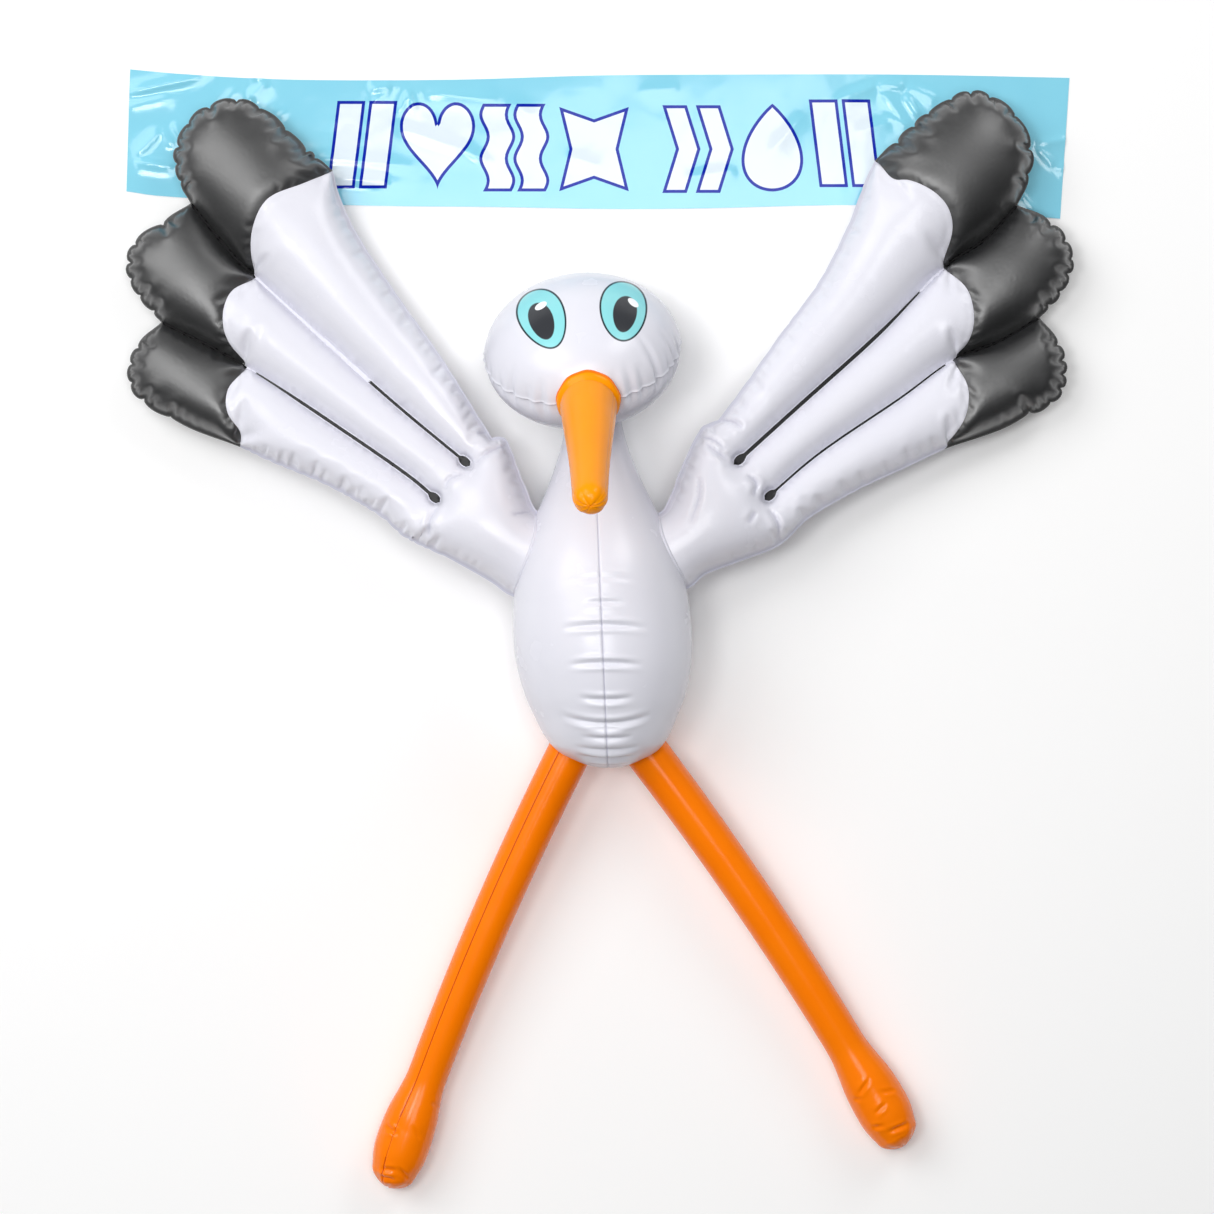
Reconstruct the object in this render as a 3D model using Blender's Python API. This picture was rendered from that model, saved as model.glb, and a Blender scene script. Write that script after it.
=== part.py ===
# Inflatable stork of welded vinyl film, lying on its back with a film banner under its wing tips.
# Metres. +X is to the right seen from above, +Y runs from the feet to the head, +Z is up,
# and the floor is the plane z = 0. The origin is under the middle of the whole part.

import math

import bpy
import numpy as np
from mathutils import Matrix, Vector
from mathutils.geometry import delaunay_2d_cdt

# Film and clearances
GAP = 0.0003                  # between two pieces that meet
WELD_THICKNESS = 0.0016       # two films welded together at a seam
SMALLEST_SIZE = 1e-6

# Body with its neck
BODY_LENGTH = 0.495           # tail to the end of the neck
BODY_WIDTH = 0.240
BODY_DEPTH = 0.230
BODY_LEAN = 2.4               # degrees, the body's axis to the left of +Y
BACK_FLAT = 0.0035            # how far the back is pressed flat by the floor
NECK_HEIGHT = 0.088           # axis of the neck's end above the floor
NECK_INSERT = 0.035           # how far the neck runs on inside the head

# Head
HEAD_WIDTH = 0.264            # diameter of the ring seam
HEAD_HEIGHT = 0.186           # crown to underside
HEAD_NOD = 35.5               # degrees, crown towards the viewer
HEAD_ROLL = 6.5               # degrees, the right side is the higher one
HEAD_OFFSET = -0.0135         # sideways from the end of the neck
HEAD_FLAT = 0.0025

# Beak with its ring lip
BEAK_LENGTH = 0.245           # from the ring seam of the head to the tip
BEAK_BASE_WIDTH = 0.075
BEAK_TIP_WIDTH = 0.045
BEAK_RING_WIDTH = 0.085
BEAK_RING_HEIGHT = 0.010
BEAK_INSERT = 0.040           # how far the beak runs on inside the head before it is cut
BEAK_INSERT_TAPER = 0.38      # width of that inner end against the ring
BEAK_TURN = -3.0              # degrees, sideways from the head's own forward line

# Wings
WING_LENGTH = 0.755           # shoulder to the far feather end
WING_TIP_HEIGHT = 0.049       # middle plane of the feathers above the floor
WING_ROOT_DROP = 0.003        # middle plane of the arm below the body's axis
ARM_FULLNESS = 0.78           # thickness against width of the inflated section
FEATHER_FULLNESS = 0.63
SCALLOP_PITCH = 0.030         # puckers along the edge of the black ends
SCALLOP_DEPTH = 0.0035

# Legs with their feet
LEG_LENGTH = 0.658            # hip to the tip of the foot
LEG_WIDTH_HIP = 0.060
LEG_WIDTH_ANKLE = 0.0545
FOOT_WIDTH = 0.075
FOOT_FLAT = 0.002
LEG_BOW = 0.012               # how far the middle of a leg bends outwards
LEG_SPREAD_LEFT = 22.7        # degrees from the line straight down
LEG_SPREAD_RIGHT = 33.2
HIP_SPACING = 0.092
HIP_HEIGHT = 0.074
LEG_INSERT = 0.050            # how far a leg runs on inside the body before it is cut

# Banner
BANNER_THICKNESS = 0.001
BANNER_LENGTH = 1.296
BANNER_WIDTH = 0.180
BANNER_ABOVE_TIP = 0.047      # its upper left corner above the left wing's highest point

# How finely the round forms are faceted
BODY_SEGMENTS = 28
BODY_STEP = 0.065             # along the outline, as a share of the length
HEAD_SEGMENTS = 28
HEAD_RINGS = 15
BEAK_SEGMENTS = 24
LEG_SEGMENTS = 16
LEG_RINGS = 22
FACET_LENGTH = 0.024          # on the wings
SCALLOP_FACETS = 3

# The body's outline, tail first: share of the length, share of the half width
BODY_PROFILE = [(0.018, 0.34), (0.045, 0.55), (0.085, 0.69), (0.14, 0.80), (0.20, 0.90),
                (0.28, 0.978), (0.36, 1.0), (0.44, 0.985), (0.52, 0.94), (0.60, 0.84), (0.70, 0.665),
                (0.80, 0.485), (0.90, 0.35), (1.0, 0.29), (1.08, 0.27)]

# The legs' radius: share of the length, share of the way from the ankle's radius to the foot's
FOOT_PROFILE = [(0.76, 0.05), (0.80, 0.35), (0.85, 0.85), (0.90, 1.0), (0.935, 0.86), (0.97, 0.25)]
FOOT_MIDDLE = 0.87            # share of the length where the foot comes down on the floor
FOOT_END = [(0.988, 0.52), (0.996, 0.28)]    # share of the length, share of the foot's radius

# The beak's radius beyond the ring: share of the length, share of the way from base to tip
BEAK_PROFILE = [(0.06, 0.0), (0.20, 0.20), (0.35, 0.42), (0.50, 0.63), (0.65, 0.80), (0.80, 0.92),
                (0.90, 1.0)]
BEAK_END = [(0.955, 0.86), (0.985, 0.62), (0.996, 0.34)]    # share of length, share of tip radius

# Outlines of the wings in thousandths of their length, measured from the shoulder.
# arm and lead run up the inner side, the lobes round the black ends, trail comes back down.
# joint is the seam between white and black film, and seam1 and seam2 part the feathers.
WING_LEFT = {
    "arm": [(35, 60), (-10, 72), (-30, 111), (-43, 143), (-64, 197), (-79, 207), (-93, 205)],
    "lead": [(-93, 205), (-133, 270), (-187, 355), (-260, 458), (-333, 568), (-367, 637), (-383, 691)],
    "lobe1": [(-383, 691), (-442, 746), (-496, 797), (-559, 824), (-628, 800), (-669, 738),
              (-665, 679), (-640, 632)],
    "lobe2": [(-640, 632), (-695, 599), (-742, 566), (-758, 519), (-738, 466), (-693, 417)],
    "lobe3": [(-693, 417), (-738, 377), (-755, 322), (-730, 273), (-650, 229), (-549, 191)],
    "trail": [(-549, 191), (-491, 163), (-385, 118), (-293, 64), (-248, 26), (-167, -13), (-96, -52),
              (-55, -79), (20, -95)],
    "joint1": [(-383, 691), (-431, 664), (-495, 632), (-526, 577), (-533, 523), (-522, 498)],
    "joint2": [(-522, 498), (-561, 473), (-578, 425), (-569, 374), (-537, 335)],
    "joint3": [(-537, 335), (-568, 297), (-569, 252), (-548, 217), (-549, 191)],
    "seam1": [(-640, 632), (-571, 547), (-522, 498), (-367, 356), (-259, 260), (-132, 155)],
    "seam2": [(-693, 417), (-612, 377), (-537, 335), (-439, 272), (-257, 148), (-186, 90)],
}
WING_RIGHT = {
    "arm": [(-35, 60), (10, 72), (29, 102), (46, 147), (79, 216), (96, 230), (115, 237)],
    "lead": [(115, 237), (163, 302), (226, 391), (299, 491), (351, 592), (379, 665), (400, 710)],
    "lobe1": [(400, 710), (450, 760), (503, 804), (576, 838), (647, 805), (686, 738), (681, 679),
              (658, 629)],
    "lobe2": [(658, 629), (711, 607), (748, 570), (760, 519), (737, 466), (698, 425)],
    "lobe3": [(698, 425), (735, 381), (748, 331), (731, 277), (643, 229), (524, 187)],
    "trail": [(524, 187), (451, 152), (369, 114), (279, 62), (225, 13), (153, -16), (91, -40),
              (61, -64), (-20, -95)],
    "joint1": [(400, 710), (443, 664), (503, 640), (532, 581), (535, 542), (524, 515)],
    "joint2": [(524, 515), (561, 478), (576, 425), (569, 377), (540, 348)],
    "joint3": [(540, 348), (564, 302), (564, 252), (546, 211), (524, 187)],
    "seam1": [(658, 629), (598, 566), (524, 515), (408, 397), (262, 265), (144, 158)],
    "seam2": [(698, 425), (626, 383), (540, 348), (443, 278), (298, 179), (198, 94)],
}
# Edges of the banner, which lies in slight waves: share of its length, share of its width down
BANNER_UPPER = [(0.0, 0.0), (0.07, 0.045), (0.18, 0.08), (0.34, 0.08), (0.50, 0.047), (0.66, 0.04),
                (0.82, 0.04), (1.0, 0.065)]
BANNER_LOWER = [(-0.004, 0.935), (0.05, 0.98), (0.23, 1.04), (0.39, 1.055), (0.51, 1.07), (0.61, 1.065),
                (0.77, 1.04), (0.88, 1.075), (0.99, 1.145)]
SHOULDER_ALONG = 0.586        # share of the body's length
SHOULDER_ASIDE = 0.31         # share of the body's width
HIP_ALONG = 0.060             # share of the body's length
WING_SLOPE_END = 0.786        # share of the wing's length where its middle plane is down
HEAD_ABOVE_NECK = 0.355       # share of the head's height

# Places that follow from the sizes above
BODY_AXIS_HEIGHT = BODY_DEPTH / 2 - BACK_FLAT
WING_REST_HEIGHT = BANNER_THICKNESS + GAP
BODY_SLANT = math.tan(math.radians(BODY_LEAN))


# Curves

def smooth_curve(points, spacing):
    """Points about a spacing apart on a smooth curve through the given points."""
    given = [np.array(point, float) for point in points]
    ghosts = [2 * given[0] - given[1]] + given + [2 * given[-1] - given[-2]]
    curve = [given[0]]
    for before, start, end, after in zip(ghosts, ghosts[1:], ghosts[2:], ghosts[3:]):
        steps = max(1, round(np.linalg.norm(end - start) / spacing))
        for step in range(1, steps + 1):
            t = step / steps
            curve.append(0.5 * (2 * start + (end - before) * t
                                + (2 * before - 5 * start + 4 * end - after) * t ** 2
                                + (3 * start - before - 3 * end + after) * t ** 3))
    return np.array(curve)


def even_points(curve, count):
    """A curve's points taken again at count equal steps of its length."""
    lengths = np.concatenate([[0], np.cumsum(np.linalg.norm(np.diff(curve, axis=0), axis=1))])
    stations = np.linspace(0, lengths[-1], count + 1)
    return np.stack([np.interp(stations, lengths, curve[:, axis]) for axis in (0, 1)], axis=1)


def left_normals(curve):
    """Unit vectors to the left of an open curve in the plane."""
    along = np.gradient(curve, axis=0)
    across = np.stack([-along[:, 1], along[:, 0]], axis=1)
    return across / np.linalg.norm(across, axis=1)[:, None]


def scalloped(curve, inward_sign):
    """The curve as a row of short arcs between puckers, all of them inside the curve."""
    length = np.linalg.norm(np.diff(curve, axis=0), axis=1).sum()
    arcs = max(1, round(length / SCALLOP_PITCH))
    points = even_points(curve, arcs * SCALLOP_FACETS)
    phase = np.arange(len(points)) / SCALLOP_FACETS * math.pi
    depth = SCALLOP_DEPTH * (1 - np.abs(np.sin(phase)))
    depth[[0, -1]] = 0
    return points + left_normals(points) * (inward_sign * depth)[:, None]


def inside(polygon, points):
    """Which of the points lie inside the polygon."""
    result = np.zeros(len(points), bool)
    for (ax, ay), (bx, by) in zip(polygon, np.roll(polygon, -1, axis=0)):
        crosses = (ay > points[:, 1]) != (by > points[:, 1])
        rise = by - ay if abs(by - ay) > SMALLEST_SIZE ** 2 else SMALLEST_SIZE ** 2
        result ^= crosses & (points[:, 0] < (bx - ax) * (points[:, 1] - ay) / rise + ax)
    return result


def profile_value(profile, station):
    """Smooth interpolation in a list of (station, value) pairs."""
    curve = smooth_curve(profile, 0.01)
    return float(np.interp(station, curve[:, 0], curve[:, 1]))


def ease(share):
    """0 to 1 with level ends."""
    share = np.clip(share, 0, 1)
    return share * share * (3 - 2 * share)


# Objects

def material(name, colour, roughness):
    mat = bpy.data.materials.new(name)
    mat.use_nodes = True
    shader = mat.node_tree.nodes["Principled BSDF"]
    shader.inputs["Base Color"].default_value = (*colour, 1)
    shader.inputs["Roughness"].default_value = roughness
    shader.inputs["Metallic"].default_value = 0
    return mat


def add_solid(name, vertices, faces, mat):
    mesh = bpy.data.meshes.new(name)
    mesh.from_pydata([tuple(map(float, vertex)) for vertex in vertices], [], faces)
    mesh.validate()
    mesh.shade_smooth()
    mesh.set_sharp_from_angle(angle=math.radians(50))
    mesh.materials.append(mat)
    solid = bpy.data.objects.new(name, mesh)
    bpy.context.collection.objects.link(solid)
    return solid


def add_cutter(name, vertices, faces, mat):
    cutter = add_solid(name, vertices, faces, mat)
    cutter.hide_render = True
    cutter.display_type = "WIRE"
    return cutter


def cut_clear(solid, cutter):
    """Takes the cutter's space, which includes the clearance, out of the solid."""
    cut = solid.modifiers.new("clear_of_" + cutter.name, "BOOLEAN")
    cut.operation = "DIFFERENCE"
    cut.solver = "EXACT"
    cut.object = cutter


def loft(rings, start_point=None, end_point=None):
    """Vertices and faces of a closed skin over equal rings that turn left about their path."""
    count = len(rings[0])
    vertices = [point for ring in rings for point in ring]
    faces = []
    for row in range(len(rings) - 1):
        for corner in range(count):
            here = row * count + corner
            beside = row * count + (corner + 1) % count
            faces.append((here, beside, beside + count, here + count))
    last = (len(rings) - 1) * count
    if start_point is None:
        faces.append(tuple(reversed(range(count))))
    else:
        vertices.append(start_point)
        pole = len(vertices) - 1
        faces += [(pole, (corner + 1) % count, corner) for corner in range(count)]
    if end_point is None:
        faces.append(tuple(range(last, last + count)))
    else:
        vertices.append(end_point)
        pole = len(vertices) - 1
        faces += [(pole, last + corner, last + (corner + 1) % count) for corner in range(count)]
    return vertices, faces


# Body

def body_axis(share):
    """Middle of the body at a share of its length."""
    neck = ease((share - 0.55) / 0.45)
    height = BODY_AXIS_HEIGHT + (NECK_HEIGHT - BODY_AXIS_HEIGHT) * neck
    along = share * BODY_LENGTH
    return np.array([-BODY_SLANT * along, along, height])


def body_skin(grow):
    end_share = 1 + NECK_INSERT / BODY_LENGTH
    profile = [(share, value) for share, value in BODY_PROFILE if share < end_share]
    profile.append((end_share, profile_value(BODY_PROFILE, end_share)))
    rings = []
    for share, value in smooth_curve(profile, BODY_STEP):
        centre = body_axis(share)
        half_width = value * BODY_WIDTH / 2 + grow
        half_depth = value * BODY_DEPTH / 2 + grow
        ring = []
        for corner in range(BODY_SEGMENTS):
            angle = -2 * math.pi * corner / BODY_SEGMENTS
            ring.append((centre[0] + half_width * math.cos(angle), centre[1],
                         max(centre[2] + half_depth * math.sin(angle), -grow)))
        rings.append(ring)
    tail = body_axis(0) - np.array([0, grow, 0])
    return loft(rings, start_point=tail)


# Head

def head_pose():
    """Turns the head's own axes, x across, y to the crown and z forward, into the part's."""
    roll = Matrix.Rotation(math.radians(HEAD_ROLL), 3, "Z")
    return roll @ Matrix.Rotation(math.radians(HEAD_NOD), 3, "X")


def head_centre():
    neck = body_axis(1)
    nod = math.radians(HEAD_NOD)
    reach = math.hypot(HEAD_WIDTH / 2 * math.cos(nod), HEAD_HEIGHT / 2 * math.sin(nod))
    return Vector((neck[0] + HEAD_OFFSET, neck[1] + HEAD_ABOVE_NECK * HEAD_HEIGHT, reach - HEAD_FLAT))


def head_skin(grow):
    radius = HEAD_WIDTH / 2 + grow
    half_height = HEAD_HEIGHT / 2 + grow
    pose = head_pose()
    centre = head_centre()

    def place(point):
        placed = centre + pose @ Vector(point)
        placed.z = max(placed.z, -grow)
        return placed

    rings = []
    for row in range(1, HEAD_RINGS):
        latitude = math.pi * (row / HEAD_RINGS - 0.5)
        ring = []
        for corner in range(HEAD_SEGMENTS):
            angle = -2 * math.pi * corner / HEAD_SEGMENTS
            ring.append(place((radius * math.cos(latitude) * math.cos(angle),
                               half_height * math.sin(latitude),
                               radius * math.cos(latitude) * math.sin(angle))))
        rings.append(ring)
    return loft(rings, start_point=place((0, -half_height, 0)), end_point=place((0, half_height, 0)))


# Beak

def beak_skin():
    base_radius = BEAK_BASE_WIDTH / 2
    tip_radius = BEAK_TIP_WIDTH / 2
    ring_radius = BEAK_RING_WIDTH / 2
    stations = [(-BEAK_INSERT, ring_radius * BEAK_INSERT_TAPER), (0.0, ring_radius),
                (BEAK_RING_HEIGHT * 0.75, ring_radius * 0.97)]
    for share, toward_tip in BEAK_PROFILE:
        along = max(share * BEAK_LENGTH, BEAK_RING_HEIGHT)
        stations.append((along, base_radius + (tip_radius - base_radius) * toward_tip))
    stations += [(share * BEAK_LENGTH, tip_radius * value) for share, value in BEAK_END]
    turn = Matrix.Rotation(math.radians(BEAK_TURN), 3, "Y")
    pose = head_pose() @ turn
    foot = head_centre() + head_pose() @ Vector((0, 0, HEAD_WIDTH / 2))
    rings = []
    for along, radius in stations:
        ring = []
        for corner in range(BEAK_SEGMENTS):
            angle = 2 * math.pi * corner / BEAK_SEGMENTS
            ring.append(foot + pose @ Vector((radius * math.cos(angle), radius * math.sin(angle), along)))
        rings.append(ring)
    return loft(rings, end_point=foot + pose @ Vector((0, 0, BEAK_LENGTH)))


# Wings

def triangulated(outline, lines):
    """Points and triangles inside the outline, with the lines as edges."""
    corners = [Vector(point) for point in outline]
    edges = []
    boundary = np.array(outline)
    for line in lines:
        first = len(corners)
        corners += [Vector(point) for point in line]
        edges += [(first + step, first + step + 1) for step in range(len(line) - 1)]
        boundary = np.vstack([boundary, line])
    low, high = boundary.min(axis=0), boundary.max(axis=0)
    row_height = FACET_LENGTH * math.sqrt(3) / 2
    grid = []
    for row in range(int((high[1] - low[1]) / row_height) + 1):
        shift = FACET_LENGTH / 2 * (row % 2)
        for column in range(int((high[0] - low[0]) / FACET_LENGTH) + 1):
            grid.append((low[0] + shift + column * FACET_LENGTH, low[1] + row * row_height))
    grid = np.array(grid)
    grid = grid[inside(np.array(outline), grid)]
    nearest = np.linalg.norm(grid[:, None] - boundary[None], axis=2).min(axis=1)
    corners += [Vector(point) for point in grid[nearest > 0.6 * FACET_LENGTH]]
    points, _, triangles, _, _, _ = delaunay_2d_cdt(
        corners, edges, [list(range(len(outline)))], 1, SMALLEST_SIZE)
    points = np.array([tuple(point) for point in points])
    triangles = np.array([tri for tri in triangles if len(tri) == 3])
    a, b, c = (points[triangles[:, corner]] for corner in range(3))
    turn = (b[:, 0] - a[:, 0]) * (c[:, 1] - a[:, 1]) - (b[:, 1] - a[:, 1]) * (c[:, 0] - a[:, 0])
    triangles[turn < 0] = triangles[turn < 0][:, ::-1]
    return points, triangles


def inflation(points, triangles, pinned):
    """Half thickness of a pillow with the given points held flat: a round section between seams."""
    count = len(points)
    stiffness = np.zeros((count, count))
    load = np.zeros(count)
    for tri in triangles:
        corner = points[tri]
        sides = np.roll(corner, -1, axis=0) - np.roll(corner, 1, axis=0)
        area = abs(sides[0, 0] * sides[1, 1] - sides[0, 1] * sides[1, 0]) / 2
        stiffness[np.ix_(tri, tri)] += sides @ sides.T / (4 * area)
        load[tri] += area / 3
    free = ~pinned
    swell = np.zeros(count)
    swell[free] = np.linalg.solve(stiffness[np.ix_(free, free)], load[free])
    return np.sqrt(2 * np.clip(swell, 0, None))


def near_line(points, line):
    """Which points lie on a line drawn through the given points."""
    on_line = np.zeros(len(points), bool)
    for start, end in zip(line, line[1:]):
        along = end - start
        share = np.clip((points - start) @ along / (along @ along), 0, 1)
        on_line |= np.linalg.norm(points - start - share[:, None] * along, axis=1) < SMALLEST_SIZE * 5
    return on_line


def slab(points, triangles, top, bottom):
    """A closed solid over the triangles, between two heights at each point."""
    used = np.unique(triangles)
    place = {old: new for new, old in enumerate(used)}
    count = len(used)
    vertices = [(*points[old], top[old]) for old in used] + [(*points[old], bottom[old]) for old in used]
    faces = []
    sides = {}
    for tri in triangles:
        a, b, c = (place[corner] for corner in tri)
        faces.append((a, b, c))
        faces.append((c + count, b + count, a + count))
        for start, end in ((a, b), (b, c), (c, a)):
            if (end, start) in sides:
                del sides[end, start]
            else:
                sides[start, end] = True
    faces += [(start + count, end + count, end, start) for start, end in sides]
    return vertices, faces


def wing_solids(outline, side):
    """The white and the black solid of a wing; side is -1 for the left one and 1 for the right."""
    shoulder = body_axis(SHOULDER_ALONG) + np.array([side * SHOULDER_ASIDE * BODY_WIDTH, 0, 0])
    curves = {}
    for name, thousandths in outline.items():
        control = shoulder[:2] + np.array(thousandths) * WING_LENGTH / 1000
        curves[name] = smooth_curve(control, FACET_LENGTH * 0.7)
    for name in ("lobe1", "lobe2", "lobe3"):
        curves[name] = scalloped(curves[name], -side)
    chain = [curves[name][:-1] for name in ("arm", "lead", "lobe1", "lobe2", "lobe3", "trail")]
    rim = np.vstack(chain + [curves["trail"][-1:]])
    joint = np.vstack([curves["joint1"][:-1], curves["joint2"][:-1], curves["joint3"]])
    black = np.vstack([curves["lobe1"][:-1], curves["lobe2"][:-1], curves["lobe3"][:-1], joint[::-1][:-1]])

    points, triangles = triangulated(rim, [joint, curves["seam1"], curves["seam2"]])
    pinned = near_line(points, rim) | near_line(points, curves["seam1"]) | near_line(points, curves["seam2"])
    swell = inflation(points, triangles, pinned)

    slope = ease(np.linalg.norm(points - shoulder[:2], axis=1) / (WING_SLOPE_END * WING_LENGTH))
    root_height = BODY_AXIS_HEIGHT - WING_ROOT_DROP
    middle = root_height + (WING_TIP_HEIGHT - root_height) * slope
    fullness = ARM_FULLNESS + (FEATHER_FULLNESS - ARM_FULLNESS) * slope
    half = np.maximum(fullness * swell, WELD_THICKNESS / 2)
    top = middle + half
    bottom = np.maximum(middle - half, WING_REST_HEIGHT)

    centres = points[triangles].mean(axis=1)
    is_black = inside(black, centres)
    towards_black = left_normals(joint) * side
    solids = []
    for chosen, sign in ((~is_black, -1), (is_black, 1)):
        moved = points.copy()
        for place, normal in zip(joint, towards_black):
            at_joint = np.linalg.norm(points - place, axis=1) < SMALLEST_SIZE * 5
            moved[at_joint] += sign * normal * GAP * 0.6
        solids.append(slab(moved, triangles[chosen], top, bottom))
    highest = rim[:, 1].max()
    return solids[0], solids[1], highest


# Legs

def leg_skin(spread, side):
    """A tapered tube from inside the body to the tip of the foot; side is -1 or 1."""
    hip = body_axis(HIP_ALONG)
    hip = np.array([hip[0] + side * HIP_SPACING / 2, hip[1], HIP_HEIGHT])
    foot_radius = FOOT_WIDTH / 2
    angle = math.radians(spread)
    down = np.array([side * math.sin(angle), -math.cos(angle), 0])
    outward = np.array([side * math.cos(angle), math.sin(angle), 0])
    foot_height = foot_radius - FOOT_FLAT

    def axis(share):
        lift = HIP_HEIGHT + (foot_height - HIP_HEIGHT) * min(max(share, 0) / FOOT_MIDDLE, 1)
        bow = LEG_BOW * 4 * share * (1 - share) if share > 0 else 0
        point = hip + down * share * LEG_LENGTH + outward * bow
        point[2] = lift
        return point

    def radius(share):
        taper = LEG_WIDTH_HIP / 2 + (LEG_WIDTH_ANKLE - LEG_WIDTH_HIP) / 2 * min(max(share, 0) / 0.76, 1)
        if share <= FOOT_PROFILE[0][0]:
            return taper
        return taper + (foot_radius - taper) * profile_value(FOOT_PROFILE, share)

    start = -LEG_INSERT / LEG_LENGTH
    stations = [(share, radius(share)) for share in np.linspace(start, FOOT_PROFILE[-1][0], LEG_RINGS)]
    stations += [(share, foot_radius * value) for share, value in FOOT_END]
    across = np.cross(down, [0, 0, 1])
    rings = []
    for share, size in stations:
        centre = axis(share)
        ring = []
        for corner in range(LEG_SEGMENTS):
            turn = 2 * math.pi * corner / LEG_SEGMENTS
            point = centre + across * size * math.cos(turn) + np.array([0, 0, size * math.sin(turn)])
            point[2] = max(point[2], 0)
            ring.append(point)
        rings.append(ring)
    rings = [ring[::-1] for ring in rings]
    return loft(rings, end_point=axis(1.0))


# Banner

def banner_slab(tip_left, tip_right, highest_left):
    """A flat film strip under the wing tips, whose far points are given."""
    start = np.array([(tip_left + tip_right - BANNER_LENGTH) / 2, highest_left + BANNER_ABOVE_TIP])
    size = np.array([BANNER_LENGTH, -BANNER_WIDTH])
    upper = start + smooth_curve(BANNER_UPPER, 0.09) * size
    lower = start + smooth_curve(BANNER_LOWER, 0.09) * size
    ring = np.vstack([lower, upper[::-1]])
    return loft([[(x, y, height) for x, y in ring] for height in (0, BANNER_THICKNESS)])


# The whole part

def build():
    for old in list(bpy.data.objects):
        bpy.data.objects.remove(old, do_unlink=True)

    white = (0.80, 0.80, 0.86)
    orange = (0.95, 0.18, 0.005)
    body_film = material("white_vinyl_body", white, 0.25)
    head_film = material("white_vinyl_head", white, 0.25)
    beak_film = material("orange_vinyl_beak", (1.0, 0.22, 0.01), 0.25)

    body = add_solid("body", *body_skin(0), body_film)
    body_clear = add_cutter("body_clearance", *body_skin(GAP), body_film)
    head = add_solid("head", *head_skin(0), head_film)
    head_clear = add_cutter("head_clearance", *head_skin(GAP), head_film)
    beak = add_solid("beak", *beak_skin(), beak_film)
    cut_clear(body, head_clear)
    cut_clear(beak, head_clear)

    wings = {"left": (WING_LEFT, -1), "right": (WING_RIGHT, 1)}
    tips = {}
    for name, (outline, side) in wings.items():
        white_skin, black_skin, highest = wing_solids(outline, side)
        wing = add_solid("wing_" + name, *white_skin, material("white_vinyl_wing_" + name, white, 0.25))
        ends = add_solid("wing_tips_" + name, *black_skin,
                         material("black_vinyl_wing_tips_" + name, (0.03, 0.03, 0.035), 0.4))
        cut_clear(wing, body_clear)
        far = [vertex.co.x * side for vertex in ends.data.vertices]
        tips[name] = (side * max(far), highest)

    for name, spread, side in (("left", LEG_SPREAD_LEFT, -1), ("right", LEG_SPREAD_RIGHT, 1)):
        leg_film = material("orange_vinyl_leg_" + name, orange, 0.25)
        leg = add_solid("leg_" + name, *leg_skin(spread, side), leg_film)
        cut_clear(leg, body_clear)

    strip = banner_slab(tips["left"][0], tips["right"][0], tips["left"][1])
    add_solid("banner", *strip, material("blue_banner_film", (0.40, 0.78, 0.88), 0.2))

    middle_of_part()


def middle_of_part():
    """Hangs everything on one empty and moves the part's middle over the origin."""
    solids = [item for item in bpy.data.objects if not item.hide_render]
    corners = np.array([vertex.co for item in solids for vertex in item.data.vertices])
    middle = (corners.min(axis=0) + corners.max(axis=0)) / 2
    centre = bpy.data.objects.new("stork_centre", None)
    bpy.context.collection.objects.link(centre)
    centre.location = (-middle[0], -middle[1], 0)
    for item in list(bpy.data.objects):
        if item is not centre:
            item.parent = centre


build()
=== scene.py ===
import math

import bpy
import numpy as np
from mathutils import Matrix, Vector, kdtree
from mathutils.geometry import delaunay_2d_cdt


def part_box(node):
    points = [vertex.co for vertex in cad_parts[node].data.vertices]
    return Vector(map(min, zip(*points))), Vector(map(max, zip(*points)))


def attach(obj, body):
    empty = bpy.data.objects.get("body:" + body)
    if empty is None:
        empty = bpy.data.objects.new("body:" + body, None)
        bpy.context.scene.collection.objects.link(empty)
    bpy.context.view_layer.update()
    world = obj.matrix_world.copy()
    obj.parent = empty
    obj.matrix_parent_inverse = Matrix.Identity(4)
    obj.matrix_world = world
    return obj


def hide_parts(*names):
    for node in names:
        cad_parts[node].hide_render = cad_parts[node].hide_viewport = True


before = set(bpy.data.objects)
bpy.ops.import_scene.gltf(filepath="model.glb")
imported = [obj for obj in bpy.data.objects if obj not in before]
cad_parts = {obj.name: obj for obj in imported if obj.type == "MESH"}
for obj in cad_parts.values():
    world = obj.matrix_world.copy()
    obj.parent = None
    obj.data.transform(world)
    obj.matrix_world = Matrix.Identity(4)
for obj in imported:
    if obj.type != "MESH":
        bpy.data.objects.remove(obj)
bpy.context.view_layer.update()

# Blow-up stork of welded vinyl film on its back, seen from above. Metres, the CAD model's frame.
# Places on the bird are worked out from the tail, which is where the body's box ends.

bodyFilm = {
    "length": 0.495,            # tail to the end of the neck
    "width": 0.240,
    "depth": 0.230,
    "lean": 2.4,                # degrees to the left of +Y
    "widestShare": 0.36,        # of the length
    "backFlat": 0.0035,         # pressed flat by the floor
    "neckHeight": 0.088,
    "neckInsert": 0.035,        # how far the neck runs on inside the head
    "rings": 330,
    "columns": 176,
    "seamGroove": 0.0015,
    "seamHalfWidth": 0.0012,
    "creaseFrom": 0.1,          # sine of the angle above the sides where creases begin
    "creaseReach": 0.4,
    "creaseSharpness": 0.78,    # times the widths in the list of creases
}
slant = math.tan(math.radians(bodyFilm["lean"]))
bodyLow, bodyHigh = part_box("body")
tail = np.array([(bodyLow.x + bodyHigh.x) / 2 + slant * bodyFilm["widestShare"] * bodyFilm["length"],
                 bodyLow.y, 0.0])
axisHeight = bodyFilm["depth"] / 2 - bodyFilm["backFlat"]
tiny = 1e-6


# Helpers for curves

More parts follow.
